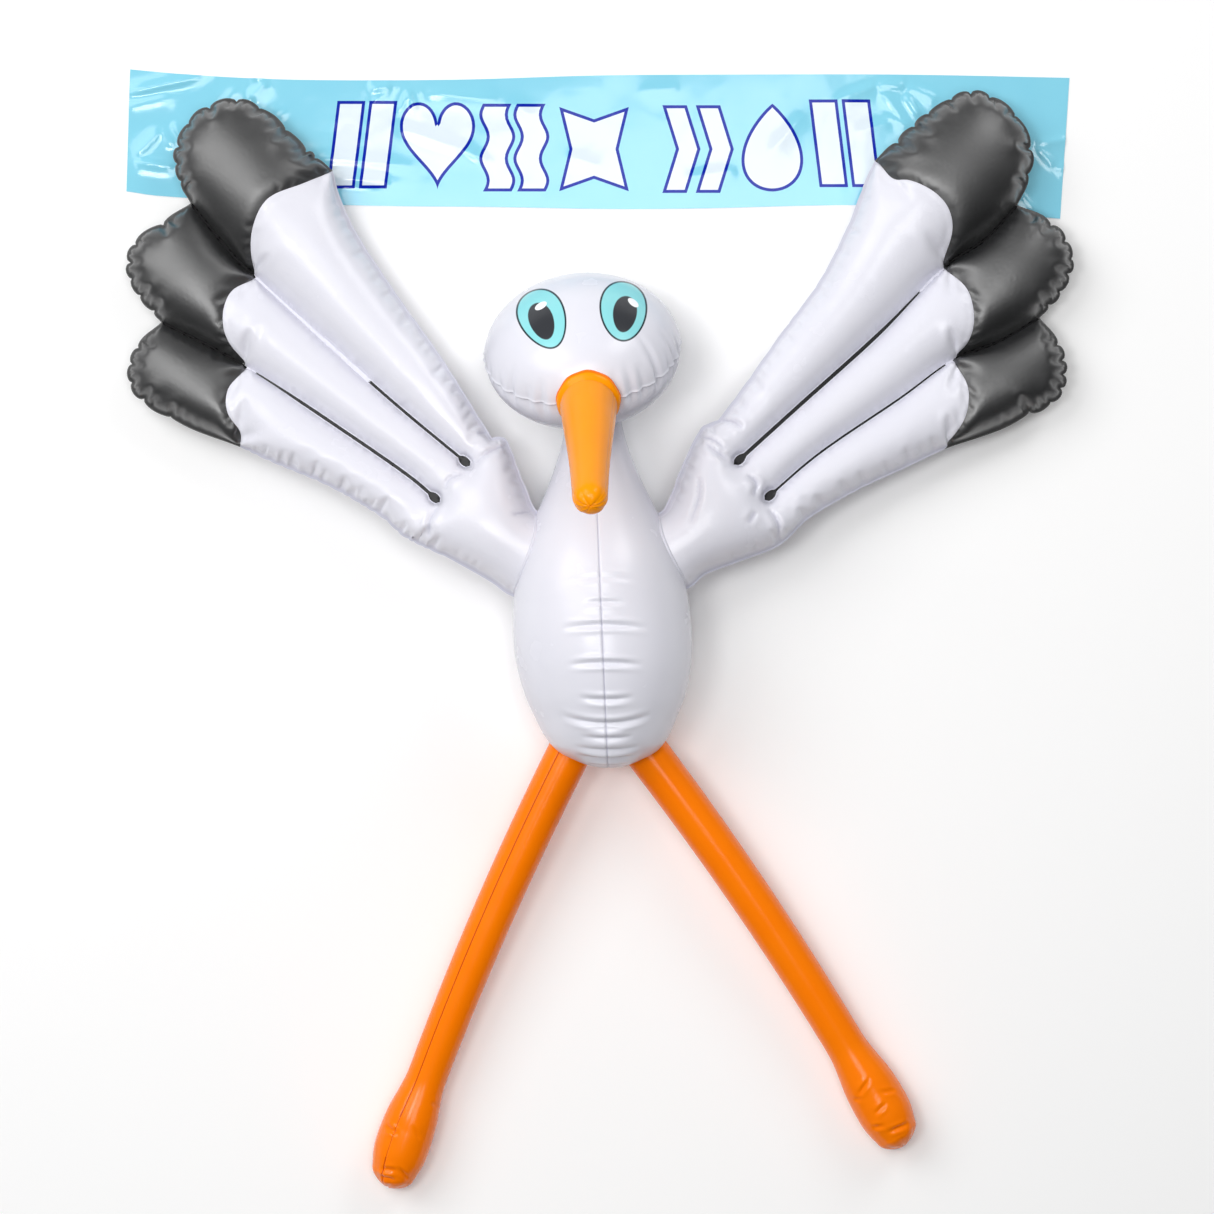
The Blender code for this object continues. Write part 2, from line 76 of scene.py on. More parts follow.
def ease(share):
    share = np.clip(share, 0, 1)
    return share * share * (3 - 2 * share)


def smoothCurve(points, spacing):
    given = [np.array(point, float) for point in points]
    ghosts = [2 * given[0] - given[1]] + given + [2 * given[-1] - given[-2]]
    curve = [given[0]]
    for before, start, end, after in zip(ghosts, ghosts[1:], ghosts[2:], ghosts[3:]):
        steps = max(1, round(np.linalg.norm(end - start) / spacing))
        for step in range(1, steps + 1):
            t = step / steps
            curve.append(0.5 * (2 * start + (end - before) * t
                                + (2 * before - 5 * start + 4 * end - after) * t ** 2
                                + (3 * start - before - 3 * end + after) * t ** 3))
    return np.array(curve)


def curveLength(curve):
    return np.linalg.norm(np.diff(curve, axis=0), axis=1).sum()


def runLengths(curve):
    # how far along the curve each of its points lies
    return np.concatenate([[0], np.cumsum(np.linalg.norm(np.diff(curve, axis=0), axis=1))])


def pointsAt(curve, lengths, stations):
    return np.stack([np.interp(stations, lengths, curve[:, axis]) for axis in (0, 1)], axis=1)


def evenPoints(curve, count):
    lengths = runLengths(curve)
    return pointsAt(curve, lengths, np.linspace(0, lengths[-1], count + 1))


def evenRing(ring, count):
    return evenPoints(np.vstack([ring, ring[:1]]), count)


def placesAlong(curve, shares):
    lengths = runLengths(curve)
    return pointsAt(curve, lengths, np.array(shares) * lengths[-1])


def leftNormals(curve):
    along = np.gradient(curve, axis=0)
    across = np.stack([-along[:, 1], along[:, 0]], axis=1)
    return across / np.linalg.norm(across, axis=1)[:, None]


def insidePolygon(polygon, points):
    result = np.zeros(len(points), bool)
    for (ax, ay), (bx, by) in zip(polygon, np.roll(polygon, -1, axis=0)):
        crosses = (ay > points[:, 1]) != (by > points[:, 1])
        rise = by - ay if abs(by - ay) > tiny ** 2 else tiny ** 2
        result ^= crosses & (points[:, 0] < (bx - ax) * (points[:, 1] - ay) / rise + ax)
    return result


def nearestPlaces(places, points):
    # for each point the nearest of the places: its number and how far it is
    tree = kdtree.KDTree(len(places))
    for number, (x, y) in enumerate(places):
        tree.insert((x, y, 0), number)
    tree.balance()
    found = [tree.find((x, y, 0)) for x, y in points]
    return np.array([hit[1] for hit in found]), np.array([hit[2] for hit in found])


def valley(distance, width):
    # a crease in tight film: a sharp floor with soft raised shoulders
    t = np.abs(distance) / width
    return -np.exp(-t ** 1.3) + 0.38 * np.exp(-((t - 2.3) / 1.1) ** 2)


def turnFrom(angles, middle):
    # angles from the middle one, from half a turn back to half a turn on
    return (angles - middle + math.pi) % (2 * math.pi) - math.pi


def profileCurve(points):
    curve = smoothCurve(points, 0.004)
    return lambda share: np.interp(share, curve[:, 0], curve[:, 1])


# Helpers for materials

sheenRoughness = 0.35
sheenTint = "FFC0B4"            # light that comes through orange film

def linear(hexColour):
    channels = [int(hexColour[place:place + 2], 16) / 255 for place in (0, 2, 4)]
    return tuple(c / 12.92 if c <= 0.04045 else ((c + 0.055) / 1.055) ** 2.4 for c in channels) + (1.0,)


def addNode(tree, kind, values=None, **settings):
    node = tree.nodes.new("ShaderNode" + kind)
    for name, value in settings.items():
        setattr(node, name, value)
    for socket, value in (values or {}).items():
        if isinstance(value, bpy.types.NodeSocket):
            tree.links.new(value, node.inputs[socket])
        else:
            node.inputs[socket].default_value = value
    return node


def startMaterial(name, look):
    material = bpy.data.materials.new(name)
    material.use_nodes = True
    tree = material.node_tree
    shader = tree.nodes["Principled BSDF"]
    shader.inputs["Metallic"].default_value = 0.0
    shader.inputs["IOR"].default_value = look["ior"]
    shader.inputs["Specular IOR Level"].default_value = look.get("specular", 0.5)
    shader.inputs["Sheen Weight"].default_value = look.get("sheen", 0.0)
    shader.inputs["Sheen Roughness"].default_value = sheenRoughness
    shader.inputs["Sheen Tint"].default_value = linear(sheenTint)
    shader.inputs["Coat Weight"].default_value = look.get("coat", 0.0)
    shader.inputs["Coat Roughness"].default_value = look.get("coatRoughness", 0.05)
    return material, tree, shader


def filmSurface(tree, shader, look):
    # The film's own finish: plasticiser cloudiness in the gloss, a slow ripple left by the
    # calender rolls, and a fine grain drawn coarser than its real 0.3 mm so that it shows
    place = addNode(tree, "TexCoord").outputs["Object"]
    cloud = addNode(tree, "TexNoise", {"Vector": place, "Scale": 1 / look["cloudSize"], "Detail": 3.0})
    gloss = addNode(tree, "MapRange", {"Value": cloud.outputs["Fac"], "From Min": 0.3, "From Max": 0.7,
                                       "To Min": look["roughness"] - look["glossSpread"],
                                       "To Max": look["roughness"] + look["glossSpread"]})
    weld = addNode(tree, "Attribute", attribute_name="weld").outputs["Fac"]
    matt = addNode(tree, "Math", {0: weld, 1: look["weldMatt"], 2: gloss.outputs["Result"]},
                   operation="MULTIPLY_ADD")
    tree.links.new(matt.outputs[0], shader.inputs["Roughness"])
    ripple, grain = (addNode(tree, "TexNoise",
                             {"Vector": place, "Scale": 1 / look[size], "Detail": 2.0})
                     for size in ("rippleSize", "grainSize"))
    slow = addNode(tree, "Bump", {"Height": ripple.outputs["Fac"], "Distance": look["rippleHeight"],
                                  "Strength": 1.0})
    fine = addNode(tree, "Bump", {"Height": grain.outputs["Fac"], "Distance": look["grainHeight"],
                                  "Strength": 1.0, "Normal": slow.outputs["Normal"]})
    tree.links.new(fine.outputs["Normal"], shader.inputs["Normal"])
    return place, cloud, weld


def filmColour(tree, shader, look, cloud, weld):
    # colour drifts a little with the film's thickness and is duller where two films are welded; the
    # same mark also paints shade along the wing creases
    drift = addNode(tree, "Mix", {"Factor": cloud.outputs["Fac"], "A": linear(look["colour"]),
                                  "B": linear(look["thinColour"])}, data_type="RGBA")
    seamed = addNode(tree, "Mix", {"Factor": weld, "A": drift.outputs["Result"],
                                   "B": linear(look["weldColour"])}, data_type="RGBA")
    return seamed.outputs["Result"]


# Helpers for meshes

def addPiece(name, node, points, faces, materials, faceMaterials=None, weld=None, kinds=None):
    # weld: 1 where films are welded, 0 where they are free, and on the wings also painted shade along
    # the creases; kinds: one number for each face
    mesh = bpy.data.meshes.new(name)
    mesh.from_pydata((np.asarray(points) + tail).tolist(), [], faces)
    mesh.shade_smooth()
    for material in materials:
        mesh.materials.append(material)
    if faceMaterials is not None:
        mesh.polygons.foreach_set("material_index", np.asarray(faceMaterials, np.int32))
    if weld is None:
        weld = np.zeros(len(points))
    marks = mesh.attributes.new("weld", "FLOAT", "POINT")
    marks.data.foreach_set("value", np.asarray(weld, np.float32))
    if kinds is not None:
        # the shading breaks where faces of two kinds meet, as film does along a weld
        beside = {}
        for polygon, kind in zip(mesh.polygons, kinds):
            for key in polygon.edge_keys:
                beside.setdefault(key, set()).add(int(kind))
        mesh.edges.foreach_set("use_edge_sharp", [len(beside[edge.key]) > 1 for edge in mesh.edges])
    mesh.update()
    piece = bpy.data.objects.new(name, mesh)
    bpy.context.collection.objects.link(piece)
    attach(piece, "root")
    if node:
        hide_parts(node)
    print(name, len(mesh.vertices), "points", len(mesh.polygons), "faces")
    return piece


def gridNormals(grid):
    # outward normals of a grid of rings, whose columns close on themselves
    along = np.gradient(grid, axis=0)
    around = np.roll(grid, -1, axis=1) - np.roll(grid, 1, axis=1)
    normals = np.cross(around, along)
    normals /= np.maximum(np.linalg.norm(normals, axis=2), 1e-12)[:, :, None]
    return normals * np.sign((normals * (grid - grid.mean(axis=1)[:, None, :])).sum())


def weldMarks(seam, above, amount=1.0):
    # how much each point of a grid is weld, and none for the two end points
    return np.concatenate([(seam > above).astype(float).ravel() * amount, [0, 0]])


def gridMesh(grid, start, end):
    # points and faces of a closed skin over rings that turn left about their path
    rows, columns = grid.shape[:2]
    points = np.vstack([grid.reshape(-1, 3), [start], [end]])
    faces = []
    for row in range(rows - 1):
        for column in range(columns):
            here = row * columns + column
            beside = row * columns + (column + 1) % columns
            faces.append((here, beside, beside + columns, here + columns))
    first, last = rows * columns, rows * columns + 1
    top = (rows - 1) * columns
    faces += [(first, (column + 1) % columns, column) for column in range(columns)]
    faces += [(last, top + column, top + (column + 1) % columns) for column in range(columns)]
    return points, faces


# Camera, looking straight down on the bird

cameraView = {
    "place": (0.01249, 0.02673, 4.5),
    "viewWidth": 1.67532,       # metres of floor across the picture
    "sensor": 36.0,
}
cameraData = bpy.data.cameras.new("photo_camera")
cameraData.sensor_width = cameraView["sensor"]
cameraData.lens = cameraView["sensor"] * cameraView["place"][2] / cameraView["viewWidth"]
camera = bpy.data.objects.new("photo_camera", cameraData)
camera.location = cameraView["place"]
bpy.context.collection.objects.link(camera)
bpy.context.scene.camera = camera
print("camera ready")


# Studio: pale floor, bright walls that are darker behind the feet, soft boxes

studio = {
    "floorSize": 12.0,
    "floorBelow": 0.0003,
    "floorColour": "FCFCFC",
    "skyBright": 1.0,
    "skyDark": 0.04,
    "skyStrength": 0.34,
    "skyTurn": (-0.5, 0.86, 0.0),   # the side of the room that is bright
    "skyReach": 0.7,            # how far round the change from dark to bright goes
    "aim": (0, 0.1, 0.1),       # where the soft boxes point
}
softBoxes = [
    # name, place, size, power in watts
    ("overhead_box", (0.2, 0.15, 5.6), (3.0, 1.8), 104),
    ("left_key_box", (-2.9, 2.1, 3.9), (3.2, 3.2), 112),
    ("small_upper_box", (-1.25, 0.1, 4.6), (0.9, 1.0), 46),
    ("right_fill_box", (2.2, 3.0, 2.7), (1.4, 1.8), 34),
]


def buildStudio():
    mesh = bpy.data.meshes.new("floor_plane")
    half = studio["floorSize"] / 2
    corners = [(-half, -half), (half, -half), (half, half), (-half, half)]
    mesh.from_pydata([(x, y, -studio["floorBelow"]) for x, y in corners], [], [(0, 1, 2, 3)])
    material = bpy.data.materials.new("matt_paper_floor")
    material.use_nodes = True
    shader = material.node_tree.nodes["Principled BSDF"]
    shader.inputs["Base Color"].default_value = linear(studio["floorColour"])
    shader.inputs["Roughness"].default_value = 0.9
    mesh.materials.append(material)
    floor = bpy.data.objects.new("floor_plane", mesh)
    bpy.context.collection.objects.link(floor)

    world = bpy.data.worlds.new("bright_studio")
    world.use_nodes = True
    tree = world.node_tree
    direction = addNode(tree, "TexCoord").outputs["Generated"]
    toBright = addNode(tree, "VectorMath", {0: direction, 1: studio["skyTurn"]},
                       operation="DOT_PRODUCT").outputs["Value"]
    shade = addNode(tree, "MapRange", {"Value": toBright, "From Min": -studio["skyReach"],
                                       "From Max": studio["skyReach"], "To Min": studio["skyDark"],
                                       "To Max": studio["skyBright"]}).outputs["Result"]
    tint = addNode(tree, "CombineColor", {"Red": shade, "Green": shade, "Blue": shade})
    background = tree.nodes["Background"]
    tree.links.new(tint.outputs["Color"], background.inputs["Color"])
    background.inputs["Strength"].default_value = studio["skyStrength"]
    bpy.context.scene.world = world

    for name, place, size, power in softBoxes:
        light = bpy.data.lights.new(name, "AREA")
        light.shape = "RECTANGLE"
        light.size, light.size_y = size
        light.energy = power
        lamp = bpy.data.objects.new(name, light)
        lamp.location = place
        aim = Vector(studio["aim"]) - Vector(place)
        lamp.rotation_euler = aim.to_track_quat("-Z", "Y").to_euler()
        bpy.context.collection.objects.link(lamp)
    bpy.context.scene.view_settings.view_transform = "Standard"
    bpy.context.scene.view_settings.look = "None"


buildStudio()
print("studio ready")


# Materials. Sizes and heights are in metres, and IOR is that of PVC or polyethylene film.

# Calendered white PVC film: milky and even, with a broad soft gloss and a slow ripple from the rolls;
# it is duller and greyer where it is welded, and painted greyer along the wing creases as painted shade
whiteLook = {
    "colour": "E6E6EE", "thinColour": "E1E1EB", "weldColour": "C4C4D2",
    "ior": 1.53, "specular": 0.34, "roughness": 0.25, "glossSpread": 0.03, "weldMatt": 0.10,
    "cloudSize": 0.060, "rippleSize": 0.045, "rippleHeight": 0.00035,
    "grainSize": 0.0016, "grainHeight": 0.000012,
}
# Calendered black PVC film: a wide satin sheen over each bulge, from a surface rougher than the
# white film's, and near black where it turns away
blackLook = {
    "colour": "161718", "thinColour": "1B1C1E", "weldColour": "0E0E0F",
    "ior": 1.53, "specular": 1.0, "coat": 1.0, "coatRoughness": 0.42, "roughness": 0.44,
    "glossSpread": 0.04, "weldMatt": 0.35,
    "cloudSize": 0.050, "rippleSize": 0.030, "rippleHeight": 0.0004,
    "grainSize": 0.0016, "grainHeight": 0.00002,
}
# Screen-printed black ink: flat and dull, so that the lines stay dark in the gloss round them
inkLook = {"colour": "161617", "thinColour": "1B1B1C", "specular": 0.3, "coat": 0.0, "weldMatt": 0.0}
# Black PVC in the welds between the black lobes, painted nearly black and without sheen: painted shade
# at the bottom of the valleys
valleyShadeLook = {"colour": "070708", "thinColour": "08080A", "weldColour": "050506",
               "specular": 0.1, "coat": 0.0}
# Calendered orange PVC film: a strong even orange that glows a little towards its edges, because
# light gets through the film
orangeLook = {
    "colour": "FF7A00", "thinColour": "FF8200", "weldColour": "C84800",
    "ior": 1.53, "specular": 0.20, "sheen": 0.30, "roughness": 0.20,
    "glossSpread": 0.03, "weldMatt": 0.05,
    "cloudSize": 0.070, "rippleSize": 0.040, "rippleHeight": 0.0003,
    "grainSize": 0.0016, "grainHeight": 0.000012,
}
# The beak is of the same film in a lighter shade: less red, less glow
beakLook = dict(orangeLook, colour="FF9602", thinColour="FF9E06", weldColour="FF6A00", sheen=0.06,
                specular=0.16)
# Blown polyethylene film, printed cyan: thin and very smooth, so its folds give small sharp glints
bannerLook = {
    "colour": "8CD6EA", "thinColour": "84D0E8", "weldColour": "9ADCEC",
    "ior": 1.49, "specular": 0.25, "roughness": 0.10, "glossSpread": 0.03, "weldMatt": 0.0,
    "cloudSize": 0.090, "rippleSize": 0.060, "rippleHeight": 0.0012,
    "grainSize": 0.004, "grainHeight": 0.00003, "coat": 0.5, "coatRoughness": 0.12,
}
# Screen-printed inks on it: an opaque blue without gloss, and a white that keeps some of the film's
bannerInks = {
    "blue": {"colour": "0A20A0", "thinColour": "1028A4", "weldColour": "0A20A0", "specular": 0.15,
             "coat": 0.0},
    "white": {"colour": "E2EDF4", "thinColour": "DCE9F2", "weldColour": "E2EDF4", "coat": 0.25},
}


def filmMaterial(name, look):
    material, tree, shader = startMaterial(name, look)
    place, cloud, weld = filmSurface(tree, shader, look)
    colour = filmColour(tree, shader, look, cloud, weld)
    tree.links.new(colour, shader.inputs["Base Color"])
    return material, tree, shader, place, colour


whiteFilm = filmMaterial("calendered_white_pvc", whiteLook)[0]
blackFilm = filmMaterial("calendered_black_pvc", blackLook)[0]
orangeFilm = filmMaterial("calendered_orange_pvc", orangeLook)[0]
beakFilm = filmMaterial("calendered_light_orange_pvc", beakLook)[0]
blackInk = filmMaterial("screen_printed_black_ink", dict(blackLook, **inkLook))[0]
valleyShadedBlack = filmMaterial("black_pvc_weld_with_painted_valley_shade", dict(blackLook, **valleyShadeLook))[0]
print("films ready")


# Body with its neck

bodyProfile = [
    # share of the length, share of the half width
    (0.018, 0.34), (0.045, 0.55), (0.085, 0.69), (0.14, 0.80), (0.20, 0.90), (0.28, 0.978),
    (0.36, 1.0), (0.44, 0.985), (0.52, 0.94), (0.60, 0.84), (0.70, 0.665), (0.80, 0.485),
    (0.90, 0.35), (1.0, 0.29), (1.08, 0.27),
]
bellyCreases = [
    # millimetres: place along from the tail, middle to the right of the seam, half length, depth, rise
    # of the middle above the ends, width
    (250, 2, 52, 1.3, 6, 4.2),
    (221, 5, 27, 2.6, 2, 3.6),
    (188, 4, 58, 4.2, 5, 4.0),
    (140, 2, 50, 4.8, 3, 4.0),
    (98, 1, 38, 3.8, -4, 4.0),
    (75, 0, 62, 5.6, -13, 4.4),
    (57, 0, 27, 2.6, -2, 3.2),
    (46, 0, 36, 3.8, -4, 3.4),
    (32, 0, 44, 3.6, -6, 3.4),
    (20, 0, 44, 4.0, -7, 3.6),
    (9, 0, 30, 2.4, -5, 3.0),
]


def bodyAxis(share):
    share = np.asarray(share, float)
    neck = ease((share - 0.55) / 0.45)
    height = axisHeight + (bodyFilm["neckHeight"] - axisHeight) * neck
    along = share * bodyFilm["length"]
    return np.stack([-slant * along, along, height], axis=-1)


def bodyRadius(share):
    fullness = profileCurve(bodyProfile)
    first, value = bodyProfile[0]
    return np.where(share < first, value * np.sqrt(np.clip(share, 0, None) / first), fullness(share))


def bodyStations():
    # rings at even steps along the skin, not along the axis, so that the round tail is as fine
    shares = np.linspace(0, 1, 4000) ** 2 * (1 + bodyFilm["neckInsert"] / bodyFilm["length"])
    skin = np.stack([shares * bodyFilm["length"], bodyRadius(shares) * bodyFilm["width"] / 2], axis=1)
    lengths = runLengths(skin)
    return np.interp(np.linspace(0, lengths[-1], bodyFilm["rings"] + 1)[1:], lengths, shares)


def columnAngles(count, middle, halfWidth, radius):
    # even angles round a tube, with a few more beside the seam line
    angles = middle + 2 * np.pi * np.arange(count) / count
    step = halfWidth / radius
    extra = middle + np.array([-1.8, -1.0, -0.5, 0.5, 1.0, 1.8]) * step
    clear = np.abs(turnFrom(angles, middle)) > 2.2 * step
    clear[0] = True
    return np.sort(np.concatenate([angles[clear], extra]))


def buildBody():
    shares = bodyStations()
    angles = columnAngles(bodyFilm["columns"], math.pi / 2, bodyFilm["seamHalfWidth"],
                          bodyFilm["width"] / 2)
    angles = -angles[::-1] + math.pi
    centres = bodyAxis(shares)
    radius = bodyRadius(shares)
    cosines, sines = np.cos(angles), np.sin(angles)
    grid = np.empty((len(shares), len(angles), 3))
    grid[:, :, 0] = centres[:, 0, None] + radius[:, None] * bodyFilm["width"] / 2 * cosines
    grid[:, :, 1] = centres[:, 1, None]
    grid[:, :, 2] = centres[:, 2, None] + radius[:, None] * bodyFilm["depth"] / 2 * sines

    side = grid[:, :, 0] - centres[:, 0, None]
    along = grid[:, :, 1]
    front = ease((sines[None, :] - bodyFilm["creaseFrom"]) / bodyFilm["creaseReach"])
    push = np.zeros(grid.shape[:2])
    for place, middle, half, depth, rise, width in np.array(bellyCreases) / 1000:
        share = (side - middle) / half
        bent = place + rise * (1 - share ** 2)
        taper = np.clip(1 - share ** 2, 0, 1) ** 1.2
        push += depth * taper * valley(along - bent, width * bodyFilm["creaseSharpness"]) * front
    seam = np.exp(-(side / bodyFilm["seamHalfWidth"]) ** 2) * (sines[None, :] > 0)
    push -= bodyFilm["seamGroove"] * seam
    grid += gridNormals(grid) * push[:, :, None]
    grid[:, :, 2] = np.maximum(grid[:, :, 2], 0)
    points, faces = gridMesh(grid[:, ::-1], np.array([0, 0, axisHeight]), bodyAxis(shares[-1]))
    addPiece("body_film", "body", points, faces, [whiteFilm],
             weld=weldMarks(seam[:, ::-1], 0.7))


buildBody()


# Head: two domed panels welded at a ring seam, with the eyes printed on the upper one

headFilm = {
    "width": 0.264,
    "height": 0.186,
    "nod": 35.5,
    "roll": 6.5,
    "offset": -0.0135,
    "flat": 0.0025,
    "aboveNeck": 0.355,
    "rows": 150,
    "columns": 300,
    "seamDrop": 0.005,          # the ring seam below the middle, at the front
    "seamGroove": 0.0016,
    "seamHalfWidth": 0.0012,
    "lipHeight": 0.0012,
    "underLip": 0.0020,
    "lipAway": 0.0030,          # the lip's middle from the seam
    "lipReach": 0.0017,
    "underLipStart": 0.0015,
    "underLipReach": 0.011,
    "seamRows": 0.052,          # radians beside the seam that have rows of their own
    "skinStretch": 1.15,        # skin along a meridian for each metre of height
    "puckerSpacing": 0.024,
    "puckerDepth": 0.0016,
    "puckerWidth": 0.0042,
    "lastGap": 0.25,            # radians left free before the first pucker comes round again
}
headPuckers = [
    # degrees round from the right to the front, depth, reach up and down from the seam in millimetres
    (16, 2.8, 40, 16), (24, 4.4, 62, 26), (31, 3.2, 36, 30), (44, 5.8, 78, 30), (56, 3.6, 44, 26),
    (64, 3.0, 56, 30), (73, 3.4, 52, 26), (84, 1.8, 34, 18), (97, 1.8, 30, 18), (108, 2.4, 36, 28),
    (118, 3.6, 44, 38), (127, 2.2, 30, 28), (139, 4.2, 50, 26), (150, 2.4, 30, 18), (163, 2.2, 26, 18),
]
eyePrints = {
    # millimetres in the plane of the floor from the head's middle: x, y, half length, half width,
    # degrees of turn, and how much wider the upper end is
    "leftEye": (-52.1, 36.8, 45.6, 31.5, 22.5, 0.18),
    "leftPupil": (-53.3, 32.6, 27.4, 16.1, 19.8, 0.10),
    "leftGleam": (-54.7, 54.3, 4.7, 8.8, 32.7, 0.0),
    "rightEye": (54.6, 47.9, 44.4, 31.7, -1.0, 0.10),
    "rightPupil": (56.4, 42.2, 26.2, 15.7, -7.9, 0.10),
    "rightGleam": (67.7, 58.9, 4.5, 8.6, -42.3, 0.0),
}
eyeColours = {"iris": "8FDDE2", "outline": "1C2C34", "pupil": "323439", "gleam": "FBFCFF"}
eyeOutline = 0.0025             # metres
eyeBleed = 0.0004               # soft edge of the print
eyeBelow = 0.02                 # the print ends this far below the head's middle


def headPose():
    roll = Matrix.Rotation(math.radians(headFilm["roll"]), 3, "Z")
    return roll @ Matrix.Rotation(math.radians(headFilm["nod"]), 3, "X")


def headCentre():
    neck = bodyAxis(1)
    nod = math.radians(headFilm["nod"])
    reach = math.hypot(headFilm["width"] / 2 * math.cos(nod), headFilm["height"] / 2 * math.sin(nod))
    return np.array([neck[0] + headFilm["offset"], neck[1] + headFilm["aboveNeck"] * headFilm["height"],
                     reach - headFilm["flat"]])


def eyeMask(tree, place, spot, grow):
    # 1 inside an egg outline, 0 outside, with an edge as wide as the print's own bleed
    x, y, halfLength, halfWidth, turn, egg = spot
    centre = (headCentre() + tail)[:2] + np.array([x, y]) / 1000
    size = (halfWidth / 1000 + grow, halfLength / 1000 + grow)
    shape = addNode(tree, "Mapping", {"Vector": place, "Location": (*centre, 0),
                                      "Rotation": (0, 0, math.radians(turn)), "Scale": (*size, 1)},
                    vector_type="TEXTURE")
    parts = addNode(tree, "SeparateXYZ", {"Vector": shape.outputs["Vector"]})
    widen = addNode(tree, "Math", {0: parts.outputs["Y"], 1: egg, 2: 1.0}, operation="MULTIPLY_ADD")
    across = addNode(tree, "Math", {0: parts.outputs["X"], 1: widen.outputs[0]}, operation="DIVIDE")
    flat = addNode(tree, "CombineXYZ", {"X": across.outputs[0], "Y": parts.outputs["Y"]})
    reach = addNode(tree, "VectorMath", {0: flat.outputs["Vector"]}, operation="LENGTH")
    edge = eyeBleed / size[0]
    inside = addNode(tree, "MapRange", {"Value": reach.outputs["Value"], "From Min": 1 - edge,
                                        "From Max": 1 + edge, "To Min": 1.0, "To Max": 0.0})
    return inside.outputs["Result"]


def eyedFilm():
    name = "calendered_white_pvc_with_printed_eyes"
    material, tree, shader, place, colour = filmMaterial(name, whiteLook)
    upper = addNode(tree, "SeparateXYZ", {"Vector": place})
    front = addNode(tree, "Math", {0: upper.outputs["Z"], 1: headCentre()[2] - eyeBelow},
                    operation="GREATER_THAN")
    for side in ("left", "right"):
        layers = [(eyePrints[side + "Eye"], 0.0, eyeColours["outline"]),
                  (eyePrints[side + "Eye"], -eyeOutline, eyeColours["iris"]),
                  (eyePrints[side + "Pupil"], 0.0, eyeColours["pupil"]),
                  (eyePrints[side + "Gleam"], 0.0, eyeColours["gleam"])]
        for spot, grow, shade in layers:
            mask = eyeMask(tree, place, spot, grow)
            kept = addNode(tree, "Math", {0: mask, 1: front.outputs[0]}, operation="MULTIPLY")
            colour = addNode(tree, "Mix", {"Factor": kept.outputs[0], "A": colour, "B": linear(shade)},
                             data_type="RGBA").outputs["Result"]
    tree.links.new(colour, shader.inputs["Base Color"])
    return material


def buildHead():
    random = np.random.default_rng(5)
    radius, halfHeight = headFilm["width"] / 2, headFilm["height"] / 2
    even = np.linspace(-1, 1, headFilm["rows"] + 2)[1:-1] * math.pi / 2
    angles = 2 * math.pi * np.arange(headFilm["columns"]) / headFilm["columns"]
    frontness = np.clip(np.sin(angles), 0, 1)
    seamLatitude = -headFilm["seamDrop"] / halfHeight * frontness

    puckers = [(math.radians(degrees), depth / 1000, up / 1000, down / 1000)
               for degrees, depth, up, down in headPuckers]
    turn = math.radians(headPuckers[-1][0])
    while turn < math.radians(360 + headPuckers[0][0]) - headFilm["lastGap"]:
        turn += headFilm["puckerSpacing"] / radius * random.uniform(0.7, 1.4)
        puckers.append((turn, headFilm["puckerDepth"] * random.uniform(0.5, 1.4),
                        random.uniform(0.02, 0.04), random.uniform(0.015, 0.035)))

    beside = np.array([-3.6, -2.4, -1.4, -0.7, 0, 0.7, 1.4, 2.1, 2.9, 3.7])
    extra = beside * headFilm["seamHalfWidth"] / halfHeight
    keep = np.abs(even) > headFilm["seamRows"]
    latitude = np.sort(np.concatenate([even[keep], extra]))[:, None]
    # the rows bend with the seam near it and are level at the two poles
    latitude = latitude + seamLatitude[None, :] * np.cos(latitude) ** 2
    grid = np.empty((latitude.shape[0], len(angles), 3))
    grid[:, :, 0] = radius * np.cos(latitude) * np.cos(angles)
    grid[:, :, 1] = halfHeight * np.sin(latitude)
    grid[:, :, 2] = radius * np.cos(latitude) * np.sin(angles)

    fromSeam = (latitude - seamLatitude[None, :]) * halfHeight * headFilm["skinStretch"]
    push = np.zeros(latitude.shape)
    for turn, depth, up, down in puckers:
        aside = turnFrom(angles[None, :], turn) * radius * np.cos(latitude)
        reach = np.where(fromSeam > 0, up, down)
        fade = np.clip(1 - np.abs(fromSeam) / reach, 0, 1) ** 1.1
        push += depth * fade * valley(aside, headFilm["puckerWidth"])
    seam = np.exp(-(fromSeam / headFilm["seamHalfWidth"]) ** 2)
    push -= headFilm["seamGroove"] * seam
    # the upper panel ends in a small lip that stands over the lower one
    lip = np.exp(-((fromSeam - headFilm["lipAway"]) / headFilm["lipReach"]) ** 2)
    push += headFilm["lipHeight"] * lip
    push -= (headFilm["underLip"] * np.clip(-fromSeam / headFilm["underLipStart"], 0, 1)
             * np.exp(-(fromSeam / headFilm["underLipReach"]) ** 2))
    grid += gridNormals(grid) * push[:, :, None]
    pose = np.array(headPose())
    grid = grid @ pose.T + headCentre()
    grid[:, :, 2] = np.maximum(grid[:, :, 2], 0)
    poles = [headCentre() + pose @ np.array([0, sign * halfHeight, 0]) for sign in (-1, 1)]
    for pole in poles:
        pole[2] = max(pole[2], 0)
    points, faces = gridMesh(grid[:, ::-1], *poles)
    addPiece("head_film", "head", points, faces, [eyedFilm()],
             weld=weldMarks(seam[:, ::-1], 0.6, 0.8))


buildHead()


# Beak with the ring lip that it is welded on by

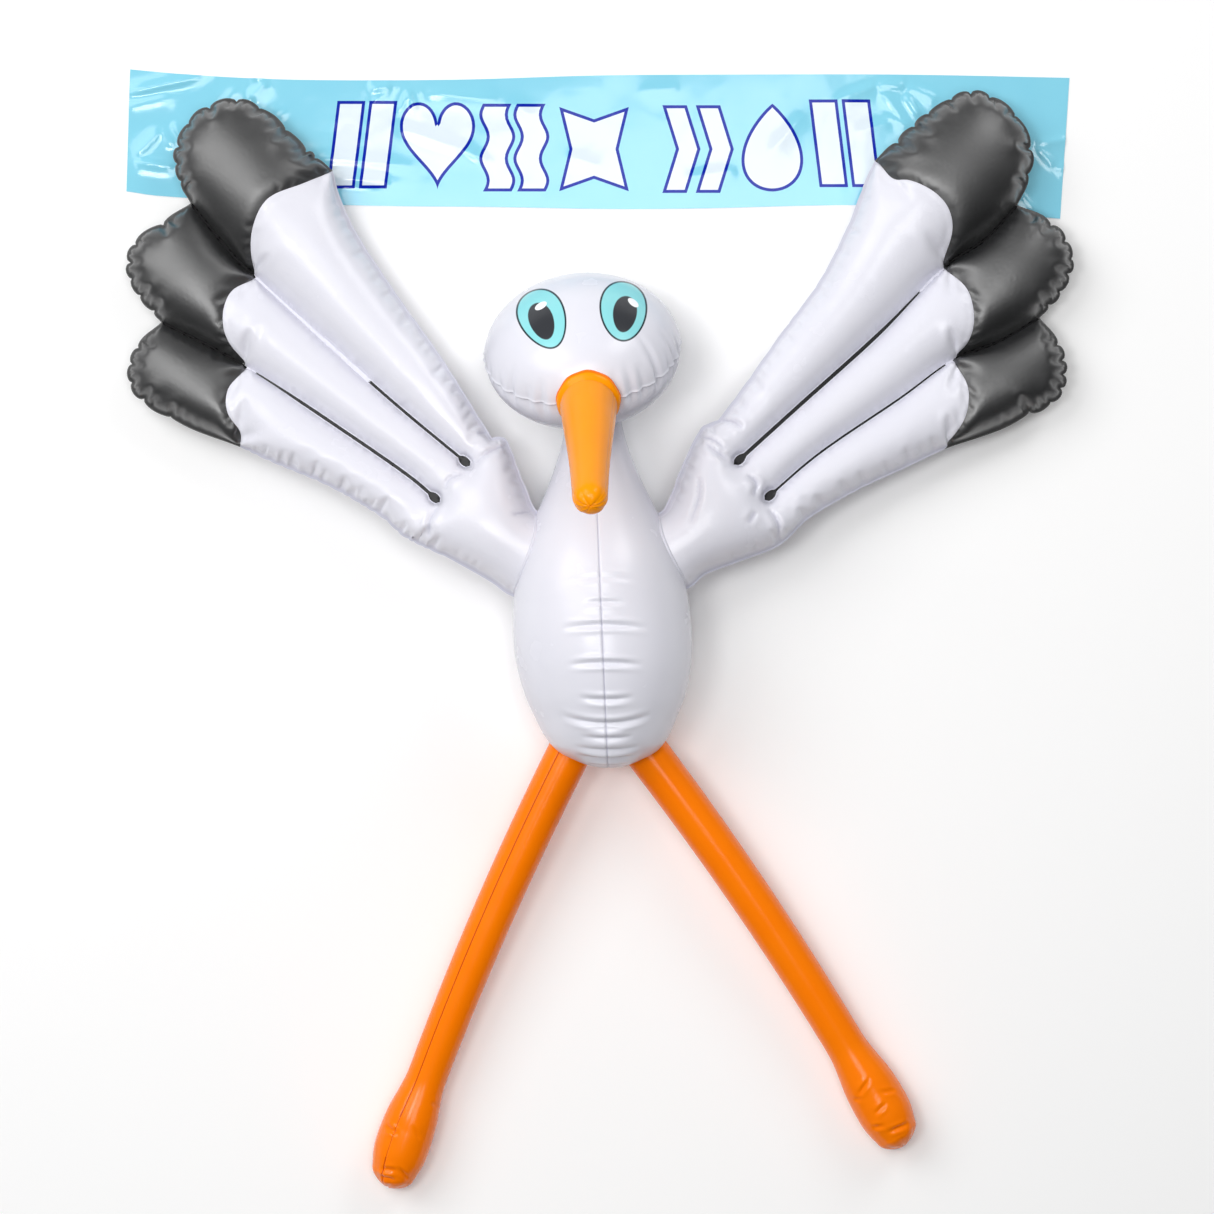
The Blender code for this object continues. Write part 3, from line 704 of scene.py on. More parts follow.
beakShape = {
    "length": 0.245,
    "baseWidth": 0.075,
    "tipWidth": 0.045,
    "ringWidth": 0.085,
    "turn": -3.0,
    "rows": 200,
    "columns": 120,
    "insert": 0.012,
    "tipPleats": 7,
    "tipPleatDepth": 0.0011,
    "tipFrom": 0.90,            # share of the length where the round end begins
    "lipMiddle": 0.0035,        # along from the foot
    "lipHalf": 0.0062,
    "lipStand": 0.0002,
    "lipStart": -0.0025,
    "lipEnd": 0.0102,
    "lipInside": 0.80,          # share of the lip's radius inside the head
    "lipWaves": 9,
    "lipWaveHeight": 0.0005,
    "creaseAt": 0.0112,
    "creaseWidth": 0.0020,
    "creaseDepth": 0.0032,
    "seamAt": (0.35, math.pi + 0.5),    # radians round
    "seamHalfWidth": 0.0012,
    "seamGroove": 0.0007,
    "seamFrom": 0.012,
    "settleFrom": 0.006,        # the lip follows the head, the tube is straight
    "settleReach": 0.05,
    "settleShare": 0.9,
}
beakProfile = [(0.06, 0.0), (0.20, 0.20), (0.35, 0.42), (0.50, 0.63), (0.65, 0.80), (0.80, 0.92),
               (0.90, 1.0)]


def beakRadius(along):
    # the lip rolls down on the head, a tight crease, then the tapering tube and its gathered tip
    base, tip, lip = (beakShape[key] / 2 for key in ("baseWidth", "tipWidth", "ringWidth"))
    length = beakShape["length"]
    taper = profileCurve([(-0.1, -0.14)] + beakProfile + [(1.0, 1.06)])
    tube = base + (tip - base) * taper(along / length)
    end = np.clip((along / length - beakShape["tipFrom"]) / 0.10, 0, 1)
    tube = tube * np.sqrt(np.clip(1 - end ** 2.6, 0, 1))
    roll = np.clip(1 - ((along - beakShape["lipMiddle"]) / beakShape["lipHalf"]) ** 2, 0, 1) ** 0.5
    collar = base + beakShape["lipStand"] + (lip - base) * roll
    crease = beakShape["creaseDepth"] * np.exp(-((along - beakShape["creaseAt"])
                                                 / beakShape["creaseWidth"]) ** 2)
    rolled = np.where(along < beakShape["lipStart"], lip * beakShape["lipInside"], collar)
    return np.where(along < beakShape["lipEnd"], rolled, tube - crease)


def buildBeak():
    length = beakShape["length"]
    fine = np.linspace(-beakShape["insert"], 0.016, 40)
    rest = np.linspace(0.016, length * 0.93, beakShape["rows"] - 70)[1:]
    tipRows = length * (0.93 + 0.07 * np.sin(np.linspace(0, math.pi / 2, 32)[1:-1]))
    along = np.concatenate([fine, rest, tipRows])
    angles = 2 * math.pi * np.arange(beakShape["columns"]) / beakShape["columns"]
    radius = beakRadius(along)
    grid = np.empty((len(along), len(angles), 3))
    grid[:, :, 0] = radius[:, None] * np.cos(angles)
    grid[:, :, 1] = radius[:, None] * np.sin(angles)
    grid[:, :, 2] = along[:, None]

    toTip = ease((along - 0.82 * length) / (0.16 * length))[:, None]
    lean = angles[None, :] * beakShape["tipPleats"] + 2.5 * np.sin(2 * angles)[None, :]
    pleat = (np.abs(np.sin(lean / 2)) - 0.6) * beakShape["tipPleatDepth"] * toTip
    atLip = np.exp(-((along - 0.004) / 0.006) ** 2)[:, None]
    wave = beakShape["lipWaveHeight"] * np.sin(angles * beakShape["lipWaves"] + 0.8)[None, :] * atLip
    push = pleat + wave
    for turn in beakShape["seamAt"]:
        aside = turnFrom(angles, turn)[None, :] * radius[:, None]
        push -= (beakShape["seamGroove"] * np.exp(-(aside / beakShape["seamHalfWidth"]) ** 2)
                 * (along > beakShape["seamFrom"])[:, None])
    grid += gridNormals(grid) * push[:, :, None]

    # the lip lies on the round head, so it drops away to the sides and below
    radiusOfHead, halfHeight = headFilm["width"] / 2, headFilm["height"] / 2
    far = np.clip((grid[:, :, 0] / radiusOfHead) ** 2 + (grid[:, :, 1] / halfHeight) ** 2, 0, 0.9)
    drop = radiusOfHead * (np.sqrt(1 - far) - 1)
    settle = 1 - ease((grid[:, :, 2] - beakShape["settleFrom"]) / beakShape["settleReach"])
    grid[:, :, 2] += drop * settle * beakShape["settleShare"]

    turn = Matrix.Rotation(math.radians(beakShape["turn"]), 3, "Y")
    pose = np.array(headPose() @ turn)
    foot = headCentre() + np.array(headPose() @ Vector((0, 0, radiusOfHead)))
    start = foot + pose @ np.array([0, 0, -beakShape["insert"]])
    end = foot + pose @ np.array([0, 0, length - 0.0015])
    grid = grid @ pose.T + foot
    points, faces = gridMesh(grid, start, end)
    addPiece("beak_film", "beak", points, faces, [beakFilm],
             weld=weldMarks(atLip * np.ones(len(angles)), 0.8, 0.7))


buildBeak()


# Legs with their feet

legFilm = {
    "length": 0.658,
    "hipWidth": 0.060,
    "ankleWidth": 0.0545,
    "footWidth": 0.075,
    "footFlat": 0.002,
    "footMiddle": 0.87,
    "bow": 0.012,
    "hipSpacing": 0.092,
    "hipHeight": 0.074,
    "hipAlong": 0.060,
    "insert": 0.050,
    "ankleShare": 0.76,
    "rows": 300,
    "columns": 96,
    "seamGroove": 0.0010,
    "seamHalfWidth": 0.0010,
    "fineFrom": 0.72,           # share of the length where the rows get closer
    "creaseWidth": 0.0026,
    "tipPleats": 3.5,
    "tipPleatTurn": 0.6,
    "tipPleatDepth": 0.0014,
    "tipPleatFrom": 0.93,
    "tipPleatReach": 0.06,
}
footProfile = [(0.74, 0.0), (0.77, 0.07), (0.80, 0.33), (0.85, 0.85), (0.90, 1.0), (0.935, 0.86),
               (0.97, 0.25)]
legs = {
    # degrees from straight down, side, where the seam line runs in degrees up from the outer side,
    # and creases: share of the length, place round in degrees, half length in millimetres, depth, slope
    "leg_left_film": {
        "node": "leg_left", "spread": 22.7, "side": -1, "seamAt": 64,
        "creases": [(0.880, 55, 13, 3.0, 0.1), (0.955, 118, 12, 2.8, 0.5), (0.958, 78, 12, 2.4, -0.3),
                    (0.978, 78, 15, 2.8, -0.2), (0.80, 140, 8, 1.2, 0.2), (0.865, 112, 8, 1.6, 0.8)],
    },
    "leg_right_film": {
        "node": "leg_right", "spread": 33.2, "side": 1, "seamAt": 12,
        "creases": [(0.845, 105, 15, 2.4, -0.4), (0.88, 60, 12, 2.0, 0.5), (0.90, 95, 12, 2.2, -0.2),
                    (0.955, 80, 18, 2.8, 0.2), (0.93, 120, 10, 2.0, 0.3), (0.86, 130, 9, 1.6, 0.2)],
    },
}


def buildLeg(name, leg):
    side = leg["side"]
    hip = bodyAxis(legFilm["hipAlong"])
    hip = np.array([hip[0] + side * legFilm["hipSpacing"] / 2, hip[1], legFilm["hipHeight"]])
    angle = math.radians(leg["spread"])
    down = np.array([side * math.sin(angle), -math.cos(angle), 0])
    outward = np.array([side * math.cos(angle), math.sin(angle), 0])
    footRadius = legFilm["footWidth"] / 2
    first = -legFilm["insert"] / legFilm["length"]
    tipShare = footProfile[-1][0]
    shares = np.concatenate([np.linspace(first, legFilm["fineFrom"], legFilm["rows"] // 2),
                             np.linspace(legFilm["fineFrom"], tipShare, legFilm["rows"] // 3)[1:],
                             tipShare + (0.9995 - tipShare)
                             * np.sin(np.linspace(0, math.pi / 2, legFilm["rows"] // 6)[1:])])
    bend = np.where(shares > 0, legFilm["bow"] * 4 * shares * (1 - shares), 0)
    centres = hip + down * (shares * legFilm["length"])[:, None] + outward * bend[:, None]
    lift = np.clip(shares / legFilm["footMiddle"], 0, 1)
    footHeight = footRadius - legFilm["footFlat"]
    centres[:, 2] = legFilm["hipHeight"] + (footHeight - legFilm["hipHeight"]) * lift

    taper = (legFilm["hipWidth"] + (legFilm["ankleWidth"] - legFilm["hipWidth"])
             * np.clip(shares / legFilm["ankleShare"], 0, 1)) / 2
    toFoot = np.where(shares > footProfile[0][0], profileCurve(footProfile)(shares), 0)
    radius = taper + (footRadius - taper) * toFoot
    edge = radius[np.searchsorted(shares, tipShare)]
    tipPart = np.clip((shares - tipShare) / (1 - tipShare), 0, 1)
    radius = np.where(shares > tipShare, edge * (1 - tipPart ** 1.5) ** 0.62, radius)

    across = np.cross(down, [0, 0, 1])
    middle = math.radians(leg["seamAt"] if side < 0 else 180 - leg["seamAt"])
    angles = columnAngles(legFilm["columns"], middle, legFilm["seamHalfWidth"], legFilm["hipWidth"] / 2)
    up = np.array([0, 0, 1])
    ring = across[None, :] * np.cos(angles)[:, None] + up[None, :] * np.sin(angles)[:, None]
    grid = centres[:, None, :] + radius[:, None, None] * ring[None, :, :]

    push = np.zeros(grid.shape[:2])
    place = shares[:, None] * legFilm["length"]
    for share, degrees, half, depth, slope in leg["creases"]:
        turn = math.radians(degrees if side < 0 else 180 - degrees)
        aside = turnFrom(angles, turn)[None, :] * radius[:, None]
        fade = np.clip(1 - (aside / (half / 1000)) ** 2, 0, 1) ** 1.2
        off = place - share * legFilm["length"] - slope * aside
        push += depth / 1000 * fade * valley(off, legFilm["creaseWidth"])
    toTip = ease((shares - legFilm["tipPleatFrom"]) / legFilm["tipPleatReach"])[:, None]
    pleats = np.abs(np.sin(angles * legFilm["tipPleats"] + legFilm["tipPleatTurn"])) - 0.5
    push += legFilm["tipPleatDepth"] * toTip * pleats[None, :]
    seamAside = turnFrom(angles, middle)[None, :] * radius[:, None]
    seam = np.exp(-(seamAside / legFilm["seamHalfWidth"]) ** 2)
    push -= legFilm["seamGroove"] * seam
    grid += gridNormals(grid) * push[:, :, None]
    grid[:, :, 2] = np.maximum(grid[:, :, 2], 0)
    points, faces = gridMesh(grid[:, ::-1], centres[0], hip + down * legFilm["length"]
                             + np.array([0, 0, centres[-1, 2] - hip[2]]))
    addPiece(name, leg["node"], points, faces, [orangeFilm],
             weld=weldMarks(seam[:, ::-1], 0.7))


for legName, legValues in legs.items():
    buildLeg(legName, legValues)

# Wings: two films welded along the rim and along the lines between the feathers, blown up.
# Each front film is a net of springs, cut larger than the space between its welds, that is
# pushed up by the air until it is tight. The back film is its mirror image.

wingFilm = {
    "length": 0.755,            # shoulder to the far feather end
    "tipHeight": 0.049,         # middle plane of the feathers above the floor
    "rootDrop": 0.003,
    "slopeEnd": 0.786,          # share of the length where the middle plane is down
    "shoulderAlong": 0.586,     # share of the body's length
    "shoulderAside": 0.31,      # share of the body's width
    "armFullness": 0.78,
    "featherFullness": 0.63,
    "restHeight": 0.0013,       # lowest point, just over the banner
    "weldWidth": 0.0024,        # flat rim outside the air
    "weldHalfThickness": 0.0004,
    "meshSize": 0.0036,
    "slack": 0.006,             # film that the air has not drawn tight
    "lobeGather": 0.11,         # extra film along the rim of the black ends
    "lobeGatherReach": 0.018,
    "trailGather": 0.12,        # and along the trailing edge
    "trailGatherReach": 0.015,
    "leadGather": 0.05,         # and along the leading edge
    "seamGather": 0.004,        # and beside the welds between the feathers
    "edgeGatherReach": 0.012,
    "jointGather": 0.12,        # and where black film meets white
    "jointGatherReach": 0.018,
    "jointPinch": 0.93,
    "foldGather": 0.07,         # and across the folds where the arm bends
    "foldReach": 0.008,
    "foldStart": 0.002,
    "creaseWidth": 0.0034,
    "creaseDepth": 1.9,         # times the depths in the lists
    "creaseTaper": 0.6,
    "creaseShadeAmount": 0.9,       # how far the middle of each crease is painted towards the weld's colour, as painted shade in the fold
    "creaseShadeWidth": 0.0012,
    "slitLength": 0.012,        # folds at the notches of the black ends
    "slitWidth": 0.0024,
    "slitDepth": 0.0042,
    "jointWelt": 0.0008,        # the white film's raised edge beside the black
    "weltAway": 0.0034,
    "weltReach": 0.0022,
    "hollowShare": 0.7,         # and the hollow behind it
    "hollowAway": 0.0085,
    "hollowReach": 0.003,
    "puckerDepth": 0.0056,
    "puckerSharpness": 0.5,     # lower is a rounder arc between sharper notches
    "trailPuckerSpacing": 0.014,
    "trailPuckerDepth": 0.0012,
    "trailPuckerSharpness": 0.75,
    "armPuckerSpread": 2.2,     # times the spacing at the trailing edge
    "armPuckerAmount": 0.6,     # times its depth
    "smoothGather": 0.01,       # where the edge isn't gathered
    "smoothAfter": 0.04,        # share of the lowest lobe's rim beyond its last notch
    "fineStep": 0.0007,
    "bandDulling": 0.3,         # of the welds between the feathers
    "rimSpacing": 0.8,          # times the mesh size
    "rimReach": 1.12,           # times the weld's width, which counts as weld
    "roughness": 0.0004,        # unevenness that the folds start from
    "pressure": 47.0,
    "bending": 9.0,
    "timeStep": 0.022,
    "damping": 0.975,
    "steps": 900,
    "gap": 0.00018,
}
# Outlines in thousandths of the wing's length from the shoulder. arm and lead run up the inner
# side, the lobes round the black ends and trail comes back; joint1 to joint3 part white from
# black film, seam1 and seam2 part the feathers. notches are shares of a lobe's rim where it is
# gathered, inkFrom is the share of a seam where its black line begins, folds are the bends of the
# arm and creases are lines with a depth in millimetres.
wingLeft = {
    "arm": [(35, 60), (-10, 72), (-30, 111), (-43, 143), (-64, 197), (-79, 207), (-93, 205)],
    "lead": [(-93, 205), (-133, 270), (-187, 355), (-260, 458), (-333, 568), (-367, 637), (-383, 691)],
    "lobe1": [(-383, 691), (-442, 746), (-496, 797), (-559, 824), (-628, 800), (-669, 738),
              (-665, 679), (-640, 632)],
    "lobe2": [(-640, 632), (-695, 599), (-742, 566), (-758, 519), (-738, 466), (-693, 417)],
    "lobe3": [(-693, 417), (-738, 377), (-755, 322), (-730, 273), (-650, 229), (-549, 191)],
    "trail": [(-549, 191), (-491, 163), (-385, 118), (-293, 64), (-248, 26), (-167, -13), (-96, -52),
              (-55, -79), (20, -95)],
    "joint1": [(-383, 691), (-431, 664), (-495, 632), (-526, 577), (-533, 523), (-522, 498)],
    "joint2": [(-522, 498), (-561, 473), (-578, 425), (-569, 374), (-537, 335)],
    "joint3": [(-537, 335), (-568, 297), (-569, 252), (-548, 217), (-549, 191)],
    "seam1": [(-640, 632), (-571, 547), (-522, 498), (-367, 356), (-259, 260), (-132, 155)],
    "seam2": [(-693, 417), (-612, 377), (-537, 335), (-439, 272), (-257, 148), (-186, 90)],
    "notches": {"lobe1": [0.08, 0.12, 0.23, 0.36, 0.455, 0.567, 0.672, 0.77, 0.84, 0.91],
                "lobe2": [0.21, 0.43, 0.56, 0.67, 0.79, 0.92],
                "lobe3": [0.17, 0.26, 0.36, 0.47, 0.63]},
    "inkFrom": {"seam1": 0.66, "seam2": 0.32},
    "trailPuckers": {"upTo": 0.66, "amount": 1.0},
    "seamHalfWidth": {"seam1": 0.0020, "seam2": 0.0023},
    "folds": [[(-93, 205), (-132, 165)], [(-150, 145), (-180, 108)], [(-191, 90), (-214, 28)]],
    "creases": [([(-124, 158), (-100, 177), (-61, 194)], 3.4), ([(-119, 211), (-95, 218)], 2.2),
                ([(-143, 141), (-168, 129), (-177, 110)], 3.0),
                ([(-189, 83), (-201, 57), (-206, 24)], 3.4), ([(-56, 66), (-19, 76)], 1.6)],
}
wingRight = {
    "arm": [(-35, 60), (10, 72), (29, 102), (46, 147), (79, 216), (96, 230), (115, 237)],
    "lead": [(115, 237), (163, 302), (226, 391), (299, 491), (351, 592), (379, 665), (400, 710)],
    "lobe1": [(400, 710), (450, 760), (503, 804), (576, 838), (647, 805), (686, 738), (681, 679),
              (658, 629)],
    "lobe2": [(658, 629), (711, 607), (748, 570), (760, 519), (737, 466), (698, 425)],
    "lobe3": [(698, 425), (735, 381), (748, 331), (731, 277), (643, 229), (524, 187)],
    "trail": [(524, 187), (451, 152), (369, 114), (279, 62), (225, 13), (153, -16), (91, -40),
              (61, -64), (-20, -95)],
    "joint1": [(400, 710), (425, 674), (458, 667), (499, 646), (528, 615), (538, 572), (524, 515)],
    "joint2": [(524, 515), (561, 478), (576, 425), (569, 377), (540, 348)],
    "joint3": [(540, 348), (564, 302), (564, 252), (546, 211), (524, 187)],
    "seam1": [(658, 629), (598, 566), (524, 515), (408, 397), (262, 265), (144, 158)],
    "seam2": [(698, 425), (626, 383), (540, 348), (443, 278), (298, 179), (198, 94)],
    "notches": {"lobe1": [0.105, 0.19, 0.26, 0.36, 0.44, 0.52, 0.64, 0.78, 0.88],
                "lobe2": [0.26, 0.41, 0.54, 0.65, 0.78, 0.90],
                "lobe3": [0.15, 0.23, 0.30, 0.37, 0.46, 0.57]},
    "inkFrom": {"seam1": 0.34, "seam2": 0.32},
    "trailPuckers": {"upTo": 0.56, "amount": 0.45},
    "seamHalfWidth": {"seam1": 0.0027, "seam2": 0.0015},
    "folds": [[(115, 237), (141, 166)], [(156, 147), (190, 108)], [(202, 88), (227, 20)]],
    "creases": [([(90, 195), (115, 176), (134, 164)], 3.4), ([(80, 208), (108, 198), (128, 182)], 2.4),
                ([(113, 237), (139, 234), (158, 221)], 3.0), ([(165, 138), (182, 122), (177, 98)], 3.0),
                ([(203, 79), (218, 55), (225, 20)], 3.4), ([(79, 136), (79, 98), (63, 50)], 1.8),
                ([(179, 74), (165, 50)], 1.6)],
}
seamDrop = {
    "startWidth": 0.0011,
    "endRadius": 0.0060,
    "endLength": 0.0220,
    "margin": 0.0009,           # weld left bare beside the ink
    "openFrom": 0.30,           # share of the length where the strip gets wider
    "openReach": 0.25,
}


def gatheredEdge(curve, notches, inward, depth, sharpness, random):
    # short arcs between the places where the weld is gathered, all inside the curve; a point of
    # the edge falls on each of these places, so that the notch is sharp
    ends = np.concatenate([[0], notches, [1]])
    depths = depth * random.uniform(0.65, 1.3, len(ends))
    depths[[0, -1]] = 0
    length = curveLength(curve)
    shares, sinks = [0.0], [0.0]
    for start, end, low, high in zip(ends, ends[1:], depths, depths[1:]):
        count = max(3, round((end - start) * length / (wingFilm["meshSize"] * wingFilm["rimSpacing"])))
        phase = np.arange(1, count + 1) / count
        shares += list(start + (end - start) * phase)
        sinks += list((low + (high - low) * phase) * (1 - np.abs(np.sin(math.pi * phase)) ** sharpness))
    points = placesAlong(curve, shares)
    return points + leftNormals(points) * (inward * np.array(sinks))[:, None]


def lobeSlits(curve, notches, inward):
    # the short folds that run in from the notches of a black end
    steps = 400
    normals = leftNormals(evenPoints(curve, steps)) * inward
    slits = []
    for notch in notches:
        foot = placesAlong(curve, [notch])[0]
        into = normals[round(steps * notch)]
        slits.append(evenPoints(np.array([foot - into * wingFilm["slitLength"] * 0.7,
                                          foot + into * wingFilm["slitLength"]]), 60))
    return slits


def randomNotches(length, spacing, random):
    steps = spacing * random.uniform(0.55, 1.6, int(length / spacing * 2) + 2)
    places = np.cumsum(steps)
    return places[places < length - spacing / 2] / length


def seamBand(curve, halfWidth, margin):
    # outline of a narrow flat weld with a drop-shaped end, or of the ink on it when margin is 0
    curve = evenPoints(curve, max(8, round(curveLength(curve) / (wingFilm["meshSize"] * 0.9))))
    lengths = runLengths(curve)
    fromEnd = lengths[-1] - lengths
    dropPart = np.clip(1 - fromEnd / seamDrop["endLength"], 0, 1)
    bulb = seamDrop["endRadius"] * np.sin(dropPart ** 0.8 * math.pi * 0.78) ** 1.3
    opening = ease((lengths / lengths[-1] - seamDrop["openFrom"]) / seamDrop["openReach"])
    strip = seamDrop["startWidth"] + (halfWidth - seamDrop["startWidth"]) * opening
    half = np.maximum(strip, bulb) + margin * np.maximum(opening, 0.35)
    half[-1] = 0
    normals = leftNormals(curve)
    left, right = curve + normals * half[:, None], curve - normals * half[:, None]
    return np.vstack([left, right[::-1][1:-1]]), curve


def sideRows(curve, offset, size, count, sides=(-1, 1)):
    # rows of net points beside a weld, so that the film leaves it evenly
    normals = leftNormals(curve)
    return [curve + normals * side * (offset + size * 0.87 * (row + 1))
            for row in range(count) for side in sides]


def filmNet(outline, lines, rows, size):
    # points and triangles inside the outline, with the lines as edges
    corners = [Vector(point) for point in outline]
    edges = []
    boundary = [outline]
    for line, closed in lines:
        first = len(corners)
        corners += [Vector(point) for point in line]
        edges += [(first + step, first + step + 1) for step in range(len(line) - 1)]
        if closed:
            edges.append((first + len(line) - 1, first))
        boundary.append(line)
    low, high = np.min(outline, axis=0), np.max(outline, axis=0)
    rowHeight = size * math.sqrt(3) / 2
    levels = np.arange(int((high[1] - low[1]) / rowHeight) + 1)
    columns = np.arange(int((high[0] - low[0]) / size) + 1)
    across, up = np.meshgrid(columns, levels)
    grid = np.stack([low[0] + (across + 0.5 * (up % 2)) * size, low[1] + up * rowHeight], axis=2)
    for row in rows + [grid.reshape(-1, 2)]:
        row = row[insidePolygon(outline, row)]
        if len(row):
            near = nearestPlaces(np.vstack(boundary), row)[1]
            row = row[near > 0.66 * size]
            corners += [Vector(point) for point in row]
            boundary.append(row)
    outer = [list(range(len(outline)))]
    points, _, triangles, _, _, _ = delaunay_2d_cdt(corners, edges, outer, 1, tiny)
    points = np.array([tuple(point) for point in points])
    triangles = np.array([tri for tri in triangles if len(tri) == 3])
    a, b, c = (points[triangles[:, corner]] for corner in range(3))
    turn = (b[:, 0] - a[:, 0]) * (c[:, 1] - a[:, 1]) - (b[:, 1] - a[:, 1]) * (c[:, 0] - a[:, 0])
    triangles[turn < 0] = triangles[turn < 0][:, ::-1]
    return points, triangles


def netEdges(triangles):
    pairs = np.vstack([triangles[:, [0, 1]], triangles[:, [1, 2]], triangles[:, [2, 0]]])
    return np.unique(np.sort(pairs, axis=1), axis=0)


def scatter(places, values, count):
    # the sum of the values that fall on each place
    return np.stack([np.bincount(places, values[:, axis], count) for axis in range(values.shape[1])],
                    axis=1)


def pillow(points, triangles, pinned):
    # half thickness of a tight pillow: sqrt(2 u) where u solves Poisson's equation between the welds
    count = len(points)
    first, second, weights = [], [], []
    load = np.zeros(count)
    for one, two, three in ((0, 1, 2), (1, 2, 0), (2, 0, 1)):
        a, b, c = (points[triangles[:, corner]] for corner in (one, two, three))
        double = np.abs((b - a)[:, 0] * (c - a)[:, 1] - (b - a)[:, 1] * (c - a)[:, 0])
        cotangent = ((a - c) * (b - c)).sum(axis=1) / np.maximum(double, 1e-12)
        first.append(triangles[:, one])
        second.append(triangles[:, two])
        weights.append(cotangent / 2)
        load += np.bincount(triangles[:, one], double / 6, count)
    first, second, weights = (np.concatenate(part) for part in (first, second, weights))
    free = ~pinned

    def stiffness(u):
        flow = weights * (u[first] - u[second])
        return np.where(free, np.bincount(first, flow, count) - np.bincount(second, flow, count), 0)

    u = np.zeros(count)
    rest = np.where(free, load, 0)
    search = rest.copy()
    size = rest @ rest
    for _ in range(1500):
        pushed = stiffness(search)
        step = size / max(search @ pushed, 1e-30)
        u += step * search
        rest -= step * pushed
        fresh = rest @ rest
        if fresh < 1e-16 * (load @ load):
            break
        search = rest + search * fresh / size
        size = fresh
    return np.sqrt(2 * np.clip(u, 0, None))


def blowUp(start, triangles, edges, restLengths, pinned, steps):
    # springs along the edges, air under the triangles and some stiffness, until all is at rest
    count = len(start)
    one, two = edges[:, 0], edges[:, 1]
    neighbours = np.bincount(one, minlength=count) + np.bincount(two, minlength=count)
    free = (~pinned).astype(float)[:, None]
    stiffness = 1 / np.maximum(restLengths, wingFilm["meshSize"] * 0.8)
    place = start.copy()
    speed = np.zeros_like(place)
    air = np.zeros_like(place)

    def bulge(values):
        around = scatter(one, values[two], count) + scatter(two, values[one], count)
        return around / neighbours[:, None] - values

    for step in range(steps):
        along = place[two] - place[one]
        length = np.linalg.norm(along, axis=1)
        pull = along * ((length - restLengths) * stiffness / np.maximum(length, tiny))[:, None]
        force = scatter(one, pull, count) - scatter(two, pull, count)
        if step % 4 == 0:
            a, b, c = (place[triangles[:, corner]] for corner in range(3))
            lift = np.cross(b - a, c - a) * (wingFilm["pressure"] / 6)
            air = sum(scatter(triangles[:, corner], lift, count) for corner in range(3))
            if step % 8 == 0:
                stiff = bulge(bulge(place)) * wingFilm["bending"]
        force += air - stiff
        speed = (speed + force * wingFilm["timeStep"]) * wingFilm["damping"] * free
        place = place + speed * wingFilm["timeStep"]
        place[:, 2] = np.maximum(place[:, 2], wingFilm["weldHalfThickness"])
    return place


def closedFilm(points, triangles, top, bottom, inked):
    # the front and back film over some of the triangles, closed along their edge
    used, corner = np.unique(triangles, return_inverse=True)
    corner = corner.reshape(-1, 3)
    count = len(used)
    vertices = np.vstack([top[used], bottom[used]])
    faces = [tuple(tri) for tri in corner] + [tuple(tri[::-1] + count) for tri in corner]
    shades = list(inked) + list(inked)
    sides = {}
    for tri, ink in zip(corner.tolist(), inked):
        for start, end in zip(tri, tri[1:] + tri[:1]):
            if (end, start) in sides:
                del sides[end, start]
            else:
                sides[start, end] = ink
    for (start, end), ink in sides.items():
        faces.append((start + count, end + count, end, start))
        shades.append(ink)
    return vertices, faces, shades, used


rimParts = ("arm", "lead", "lobe1", "lobe2", "lobe3", "trail")


def wingEdges(shape, curves, side, random):
    # the parts of the rim, each gathered in its own way, and the slits that run in from the lobes
    edges, slits = [], []
    for key in rimParts:
        curve = curves[key]
        if key in shape["notches"]:
            notches, depth = np.array(shape["notches"][key]), wingFilm["puckerDepth"]
            sharpness = wingFilm["puckerSharpness"]
            slits += lobeSlits(curve, notches, -side)
        else:
            spread, amount = wingFilm["armPuckerSpread"], wingFilm["armPuckerAmount"]
            if key == "trail":
                spread, amount = 1, shape["trailPuckers"]["amount"]
            notches = randomNotches(curveLength(curve), wingFilm["trailPuckerSpacing"] * spread, random)
            depth = wingFilm["trailPuckerDepth"] * amount
            sharpness = wingFilm["trailPuckerSharpness"]
            if key == "trail":
                notches = notches[notches < shape["trailPuckers"]["upTo"]]
        edges.append(gatheredEdge(curve, notches, -side, depth, sharpness, random))
    return edges, slits


